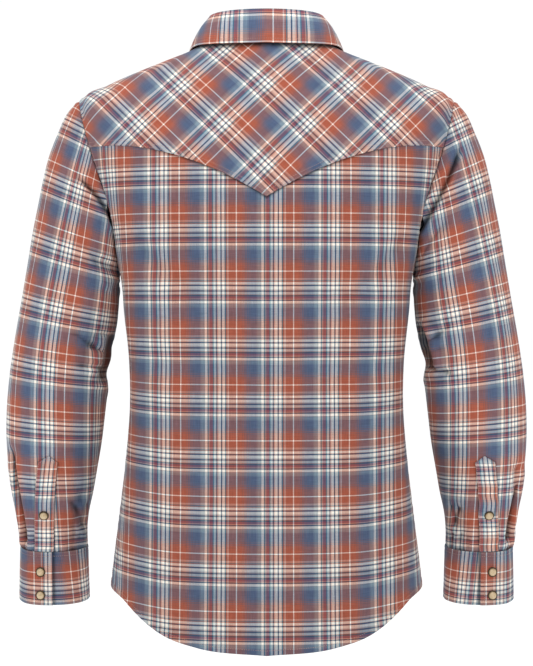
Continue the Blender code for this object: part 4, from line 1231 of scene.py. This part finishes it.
def make_cuff(side):
    mirrored = side == "left"
    turn = 360 + CUFF_LAP_ANGLE
    angles = CUFF_END_ANGLE - turn * shares(0.30)
    levels = CUFF_BOTTOM_Z + (CUFF_TOP_Z - CUFF_BOTTOM_Z) * shares(0.0695)[:, None]
    lift = cuff_lift(angles)[None, :, None] + CUFF_RAISE
    points = moved_out(cuff_surface, angles + 0 * levels, levels + 0 * angles, lift, SLEEVE_FACING)
    along, _ = from_ends(points, 1)
    up, down = from_ends(points, 0)
    aside = np.minimum(up, down)
    height = rolled_edge(aside) + rolled_edge(along)
    height += pucker(along, np.abs(aside - EDGE_STITCH), 0.0004, 0.009, spacing=0.013, seed=2.0)
    height += 0.0005 * ripple(along, 0.045, 0.5) * np.sin(math.pi * up / (up + down))
    height += CUFF_LAP_RAISE * (1 - ease_in(along, 0.030, 0.055))
    past_end = (angles + 360 - CUFF_END_ANGLE) * math.radians(1) * 0.040 + 0 * levels
    across = CUFF_WARP[side] + (along if mirrored else -along)
    grain = np.stack([across, levels - CUFF_WEFT + 0 * angles], -1)
    shown = raised(points, height)
    shade = close_shade(past_end, 0.0026) + CUFF_SHADE
    made = cloth_piece(f"cuff_cloth_{side}", shown, grain, mirrored=mirrored, wall=CUFF_WALL, shade=shade)
    declare_sheet(made, f"cuff_{side}", flat=(0.29, 0.0695), held="folded")
    lines = seam_lines(shown, (up, EDGE_STITCH, 0), (down, EDGE_STITCH, 0), (along, EDGE_STITCH, 1))
    sew(f"cuff_stitches_{side}", lines, mirrored)


# ---------------------------------------------------------------- snaps


def select_faces(piece, wanted):
    """In edit mode, selects the faces that are wanted and no others."""
    bpy.ops.mesh.select_mode(type="FACE")
    bpy.ops.mesh.select_all(action="DESELECT")
    shape = bmesh.from_edit_mesh(piece.data)
    for face in shape.faces:
        face.select_set(wanted(face))
    bmesh.update_edit_mesh(piece.data)


def brass_rim():
    """The turned rim of a snap: a low cup with rounded edges."""
    bpy.ops.object.select_all(action="DESELECT")
    bpy.ops.mesh.primitive_cylinder_add(
        vertices=RIM_SIDES, radius=RIM_RADIUS, depth=RIM_HEIGHT, location=(0, 0, RIM_HEIGHT / 2))
    rim = bpy.context.object
    bpy.ops.object.transform_apply(location=True)
    bpy.ops.object.mode_set(mode="EDIT")
    select_faces(rim, lambda face: face.normal.z > 0.9)
    bpy.ops.mesh.inset(thickness=RIM_WIDTH)
    bpy.ops.mesh.extrude_region_move(TRANSFORM_OT_translate={"value": (0, 0, PEARL_SEAT - RIM_HEIGHT)})
    bpy.ops.object.mode_set(mode="OBJECT")
    edge = rim.modifiers.new("rounded", "BEVEL")
    edge.width, edge.segments, edge.limit_method = 0.0005, 3, "ANGLE"
    bpy.ops.object.modifier_apply(modifier="rounded")
    bpy.ops.object.shade_smooth_by_angle(angle=math.radians(50))
    return rim


def pearl_dome():
    """The pearl face of a snap: the upper part of a ball, pressed low."""
    bpy.ops.object.select_all(action="DESELECT")
    bpy.ops.mesh.primitive_uv_sphere_add(segments=32, ring_count=18, radius=PEARL_RADIUS)
    dome = bpy.context.object
    bpy.ops.object.mode_set(mode="EDIT")
    bpy.ops.mesh.select_all(action="SELECT")
    bpy.ops.mesh.bisect(plane_co=(0, 0, -0.0004), plane_no=(0, 0, 1), clear_inner=True, use_fill=True)
    bpy.ops.mesh.select_all(action="SELECT")
    low = PEARL_HEIGHT / PEARL_RADIUS
    bpy.ops.transform.resize(value=(1, 1, low), center_override=(0, 0, 0))
    bpy.ops.transform.translate(value=(0, 0, PEARL_SEAT + 0.0003))
    bpy.ops.object.mode_set(mode="OBJECT")
    bpy.ops.object.shade_smooth_by_angle(angle=math.radians(50))
    return dome


def snap_places():
    """Where each snap sits on the cloth, and the direction it faces."""
    face = stand_directions(np.array(180.0))[0]
    yield "collar", (body(180.0, NECK_LEVEL) + stand_top(np.array(180.0))) / 2 + face * LAYER, face
    for count in range(FRONT_SNAP_COUNT):
        height = FRONT_SNAP_TOP_Z - count * FRONT_SNAP_SPACING
        level = solved(lambda at: body(180.0, at)[..., 2] - height, np.array(-0.77), np.array(NECK_LEVEL))
        normal = outward(body, 180.0, level)
        yield f"front_{count + 1}", body(180.0, level) + normal * BAND_LIFT, normal
    for side, flip in (("left", (-1, 1, 1)), ("right", (1, 1, 1))):
        surface = sleeve_of(SLEEVE_FOLDS[side])
        _, angle, _ = placket_line(surface, np.array(PLACKET_SNAP_LEVEL))
        normal = outward(surface, angle, PLACKET_SNAP_LEVEL, SLEEVE_FACING)
        place = surface(angle, PLACKET_SNAP_LEVEL) + (SEAM_GAP, 0, 0)
        place = place + normal * (PLACKET_LIFT + PLACKET_SNAP_LIFT)
        yield f"placket_{side}", place * flip, normal * flip
        for row, height in zip(("upper", "lower"), CUFF_SNAP_Z):
            normal = outward(cuff_surface, CUFF_SNAP_ANGLE, height, SLEEVE_FACING)
            lift = cuff_lift(CUFF_SNAP_ANGLE) + CUFF_RAISE + CUFF_LAP_RAISE
            place = cuff_surface(CUFF_SNAP_ANGLE, height) + normal * lift
            yield f"cuff_{side}_{row}", place * flip, normal * flip


def make_snaps():
    """One rim and one dome, copied to every snap and turned a little further on each."""
    masters = {"ring": (brass_rim(), "antique_brass"), "cap": (pearl_dome(), "pearl")}
    for count, (name, place, normal) in enumerate(snap_places()):
        upright = Vector(normal).to_track_quat("Z", "Y").to_matrix().to_4x4()
        stand = upright @ Matrix.Rotation(SNAP_TURN * count, 4, "Z")
        seat = Matrix.Translation(Vector(place - normal * SNAP_SINK)) @ stand
        for part, (master, slot) in masters.items():
            mesh = master.data.copy()
            mesh.transform(seat)
            piece = add_piece(f"{name}_{'rim' if part == 'ring' else 'pearl'}", mesh, slot, slot)
            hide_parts(f"snap_{name}_{part}")
    for master, _ in masters.values():
        bpy.data.objects.remove(master)


# ---------------------------------------------------------------- finishes


def feed(tree, socket, value):
    """Feeds an input from another node's output, or sets its own value."""
    if isinstance(value, bpy.types.NodeSocket):
        tree.links.new(value, socket)
    else:
        socket.default_value = value


def add_node(tree, kind, inputs):
    """A node of this kind, with its inputs fed."""
    node = tree.nodes.new(kind)
    for name, value in inputs.items():
        feed(tree, node.inputs[name], value)
    return node


def shader_value(tree, operation, *numbers, clamp=False):
    """The result of a Math node, fed by sockets or numbers."""
    node = add_node(tree, "ShaderNodeMath", dict(enumerate(numbers)))
    node.operation = operation
    node.use_clamp = clamp
    return node.outputs[0]


def shader_mix(tree, share, first, second, blend="MIX"):
    """The result of a colour Mix node, fed by sockets or colours."""
    node = tree.nodes.new("ShaderNodeMix")
    node.data_type = "RGBA"
    node.blend_type = blend
    for name, value in (("Factor_Float", share), ("A_Color", first), ("B_Color", second)):
        feed(tree, next(s for s in node.inputs if s.identifier == name), value)
    return next(s for s in node.outputs if s.identifier == "Result_Color")


def toned(tree, colour, tone):
    """A colour times a grey of that tone."""
    grey = add_node(tree, "ShaderNodeCombineColor", {"Red": tone, "Green": tone, "Blue": tone})
    return shader_mix(tree, 1.0, colour, grey.outputs[0], "MULTIPLY")


def noise_of(tree, place, scale, detail=3.0):
    inputs = {"Scale": scale, "Detail": detail, "Vector": place}
    return add_node(tree, "ShaderNodeTexNoise", inputs).outputs[0]


def shader_ramp(tree, position, stops, kind):
    node = tree.nodes.new("ShaderNodeValToRGB")
    node.color_ramp.interpolation = kind
    elements = node.color_ramp.elements
    elements.remove(elements[1])
    elements[0].position, elements[0].color = stops[0]
    for place, colour in stops[1:]:
        elements.new(place).color = colour
    tree.links.new(position, node.inputs[0])
    return node


def yarn(name, strength=1.0):
    return (*(part / 255 for part in YARNS[name]), strength)


def stripe_stops(stripes):
    """A constant ramp's stops: each stripe's yarn, and nothing between stripes."""
    stops = []
    for start, end, name, strength in stripes:
        colour = yarn(name, strength)
        if stops and abs(stops[-1][0] - start) < 1e-6:
            stops[-1] = (start, colour)
        else:
            stops.append((start, colour))
        stops.append((end, (*colour[:3], 0.0)))
    if stops[0][0] > 0:
        stops.insert(0, (0.0, (*stops[0][1][:3], 0.0)))
    return [stop for stop in stops if stop[0] < 1]


def stripes_of(tree, across, repeat, shades, stripes):
    """One direction's yarns: rust that shades into slate thread by thread, crossed by its stripes."""
    place = shader_value(tree, "FRACT", shader_value(tree, "DIVIDE", across, repeat))
    stops = [(at, (share, share, share, 1)) for at, share in shades]
    slate = shader_ramp(tree, place, stops, "LINEAR").outputs[0]
    thread = shader_value(tree, "PINGPONG", across, PIN_STRIPE / 2)
    thread = shader_value(tree, "MULTIPLY_ADD", thread, 2 / PIN_STRIPE, -0.5)
    spread = shader_value(tree, "MULTIPLY_ADD", slate, 1 + PIN_CONTRAST, -PIN_CONTRAST / 2)
    share = shader_value(tree, "MULTIPLY_ADD", thread, PIN_CONTRAST, spread, clamp=True)
    ground = shader_mix(tree, share, yarn("rust"), yarn("slate"))
    lines = shader_ramp(tree, place, stripe_stops(stripes), "CONSTANT")
    return shader_mix(tree, lines.outputs["Alpha"], ground, lines.outputs["Color"])


def plaid_group():
    """The woven plaid, from metres along the grain: its colour, and the height of its threads."""
    tree = bpy.data.node_groups.new("woven_plaid", "ShaderNodeTree")
    tree.interface.new_socket("Grain", in_out="INPUT", socket_type="NodeSocketVector")
    tree.interface.new_socket("Color", in_out="OUTPUT", socket_type="NodeSocketColor")
    tree.interface.new_socket("Threads", in_out="OUTPUT", socket_type="NodeSocketFloat")
    entry, leave = tree.nodes.new("NodeGroupInput"), tree.nodes.new("NodeGroupOutput")
    across, up = add_node(tree, "ShaderNodeSeparateXYZ", {0: entry.outputs[0]}).outputs[:2]
    warp = stripes_of(tree, across, WARP_REPEAT, WARP_SHADES, WARP_STRIPES)
    weft = stripes_of(tree, shader_value(tree, "MULTIPLY", up, -1), WEFT_REPEAT, WEFT_SHADES, WEFT_STRIPES)

    # plain weave: warp and weft take turns on top
    turn = 2 * math.pi / THREAD_PITCH
    over_u = shader_value(tree, "SINE", shader_value(tree, "MULTIPLY", across, turn / 2))
    over_v = shader_value(tree, "SINE", shader_value(tree, "MULTIPLY", up, turn / 2))
    over = shader_value(tree, "MULTIPLY", over_u, over_v)
    share = shader_value(tree, "MULTIPLY_ADD", over, WEAVE_CONTRAST, 0.5, clamp=True)
    colour = shader_mix(tree, share, warp, weft)

    # slubs: each direction's yarns are a little uneven along their length
    for scale in ((900, 60, 1), (60, 900, 1)):
        stretch = add_node(tree, "ShaderNodeMapping", {"Scale": scale, "Vector": entry.outputs[0]})
        slub = noise_of(tree, stretch.outputs[0], 1.0, 1.0)
        tone = shader_value(tree, "MULTIPLY_ADD", slub, SLUB_CONTRAST, 1 - SLUB_CONTRAST / 2)
        colour = toned(tree, colour, tone)
    gamma = add_node(tree, "ShaderNodeGamma", {"Color": colour, "Gamma": YARN_GAMMA})
    tree.links.new(gamma.outputs[0], leave.inputs[0])
    tree.links.new(shader_value(tree, "ABSOLUTE", over), leave.inputs[1])
    return tree


def blank_finish(name, roughness, metallic=0.0):
    """A new material, its nodes and its shader."""
    made = bpy.data.materials.new(name)
    made.use_nodes = True
    shader = made.node_tree.nodes["Principled BSDF"]
    shader.inputs["Roughness"].default_value = roughness
    shader.inputs["Metallic"].default_value = metallic
    return made, made.node_tree, shader


def bumped(tree, shader, height, strength, distance):
    """Raises the shader's surface by a height."""
    bump = add_node(tree, "ShaderNodeBump", {"Strength": strength, "Distance": distance, "Height": height})
    tree.links.new(bump.outputs[0], shader.inputs["Normal"])


def plaid_finish():
    """The plaid on brushed cotton, darker where the cloth's shade says so."""
    made, tree, shader = blank_finish("plaid_cloth", 0.88)
    grain = tree.nodes.new("ShaderNodeUVMap")
    grain.uv_map = "grain"
    plaid = tree.nodes.new("ShaderNodeGroup")
    plaid.node_tree = plaid_group()
    tree.links.new(grain.outputs[0], plaid.inputs[0])
    dark = tree.nodes.new("ShaderNodeAttribute")
    dark.attribute_name = "shade"
    light = shader_value(tree, "MULTIPLY_ADD", dark.outputs["Fac"], -SHADE_DEPTH, 1)
    tree.links.new(toned(tree, plaid.outputs["Color"], light), shader.inputs["Base Color"])
    bumped(tree, shader, plaid.outputs["Threads"], 0.35, 0.00015)
    shader.inputs["Specular IOR Level"].default_value = 0.2
    shader.inputs["Sheen Weight"].default_value = 0.12
    shader.inputs["Sheen Roughness"].default_value = 0.45
    return made


def thread_finish():
    """Sewing thread: two tones along its length, and its twist."""
    made, tree, shader = blank_finish("thread", 0.6)
    place = tree.nodes.new("ShaderNodeTexCoord").outputs["Object"]
    tone = noise_of(tree, place, 90)
    tree.links.new(shader_mix(tree, tone, *THREAD_COLOURS), shader.inputs["Base Color"])
    bumped(tree, shader, noise_of(tree, place, 5000), 0.4, 0.0001)
    return made


def pearl_finish():
    """Tan pearl: milky swirls under a clear polish, with painted shade darkening it towards the rim."""
    made, tree, shader = blank_finish("pearl", 0.28)
    place = tree.nodes.new("ShaderNodeTexCoord").outputs["Object"]
    around = tree.nodes.new("ShaderNodeUVMap")
    around.uv_map = "UVMap"
    upward = add_node(tree, "ShaderNodeSeparateXYZ", {0: around.outputs[0]}).outputs[1]
    swirl = shader_value(tree, "SINE", shader_value(tree, "MULTIPLY", noise_of(tree, place, 200), 14))
    swirl = shader_value(tree, "MULTIPLY_ADD", swirl, 0.5, 0.5)
    face = shader_mix(tree, swirl, *PEARL_COLOURS_AND_RIM_SHADE[1:])
    # painted shade: the dome darkens from its top down to its rim
    inner = shader_ramp(tree, upward, [(0.50, (0, 0, 0, 1)), (0.76, (1, 1, 1, 1))], "EASE").outputs[0]
    tree.links.new(shader_mix(tree, inner, PEARL_COLOURS_AND_RIM_SHADE[0], face), shader.inputs["Base Color"])
    shader.inputs["Coat Weight"].default_value = 0.5
    shader.inputs["Coat Roughness"].default_value = 0.12
    return made


def brass_finish():
    """Antique brass: dark in its pores and rubbed lighter in patches."""
    made, tree, shader = blank_finish("antique_brass", 0.42, 0.85)
    place = tree.nodes.new("ShaderNodeTexCoord").outputs["Object"]
    wear = noise_of(tree, place, 420)
    tree.links.new(shader_mix(tree, wear, *BRASS_COLOURS), shader.inputs["Base Color"])
    tree.links.new(shader_value(tree, "MULTIPLY_ADD", wear, 0.3, 0.28), shader.inputs["Roughness"])
    bumped(tree, shader, noise_of(tree, place, 1600), 0.3, 0.0002)
    return made


# ---------------------------------------------------------------- camera, light and floor


def make_studio():
    scene = bpy.context.scene
    camera = bpy.data.objects.new("camera", bpy.data.cameras.new("camera"))
    scene.collection.objects.link(camera)
    camera.location = CAMERA_PLACE
    camera.rotation_euler = (math.radians(90 - CAMERA_DOWN), 0, 0)
    camera.data.lens, camera.data.sensor_width, camera.data.clip_start = CAMERA_LENS, 36, 0.01
    scene.camera = camera
    scene.view_settings.view_transform = "Standard"

    world = bpy.data.worlds.new("studio")
    scene.world = world
    world.use_nodes = True
    tree = world.node_tree
    seen = tree.nodes.new("ShaderNodeLightPath").outputs["Is Camera Ray"]
    sky = tree.nodes["Background"].inputs
    sky["Color"].default_value = (1, 1, 1, 1)
    tree.links.new(shader_value(tree, "MULTIPLY_ADD", seen, BACKDROP - SKY, SKY), sky["Strength"])
    for name, place, size, power in STUDIO_LIGHTS:
        light = bpy.data.objects.new(name, bpy.data.lights.new(name, "AREA"))
        scene.collection.objects.link(light)
        light.location = place
        aim = Vector(LIT_POINT) - Vector(place)
        light.rotation_euler = aim.to_track_quat("-Z", "Y").to_euler()
        light.data.shape, light.data.size, light.data.energy = "SQUARE", size, power

    bpy.ops.mesh.primitive_plane_add(size=FLOOR_SIZE, location=(0, 0, FLOOR_Z))
    floor = bpy.context.object
    floor.name = "floor"
    bpy.ops.object.transform_apply(location=True)
    finish, _, shader = blank_finish("floor", 0.9)
    shader.inputs["Base Color"].default_value = (FLOOR_GREY, FLOOR_GREY, FLOOR_GREY, 1)
    shader.inputs["Emission Color"].default_value = (1, 1, 1, 1)
    shader.inputs["Emission Strength"].default_value = FLOOR_GLOW
    floor.data.materials.append(finish)


FINISHES = {
    "plaid_cloth": plaid_finish(),
    "thread": thread_finish(),
    "pearl": pearl_finish(),
    "antique_brass": brass_finish(),
}
seam_angles, seam_levels = make_back()
make_yoke(seam_angles, seam_levels)
front_levels = make_front("right")
make_front("left")
make_band(front_levels)
front_edge = float(front_angle(NECK_LEVEL, FRONT_EDGE_X))
past_seam = np.linspace(SHOULDER_SEAM_ANGLE, front_edge, 26)[1:]
half = np.concatenate([np.linspace(0, SHOULDER_SEAM_ANGLE, 40), past_seam])
make_collar(np.concatenate([-half[::-1], half[1:]]))
for side in ("left", "right"):
    make_placket(side, make_sleeve(side))
    make_cuff(side)
make_snaps()
make_studio()
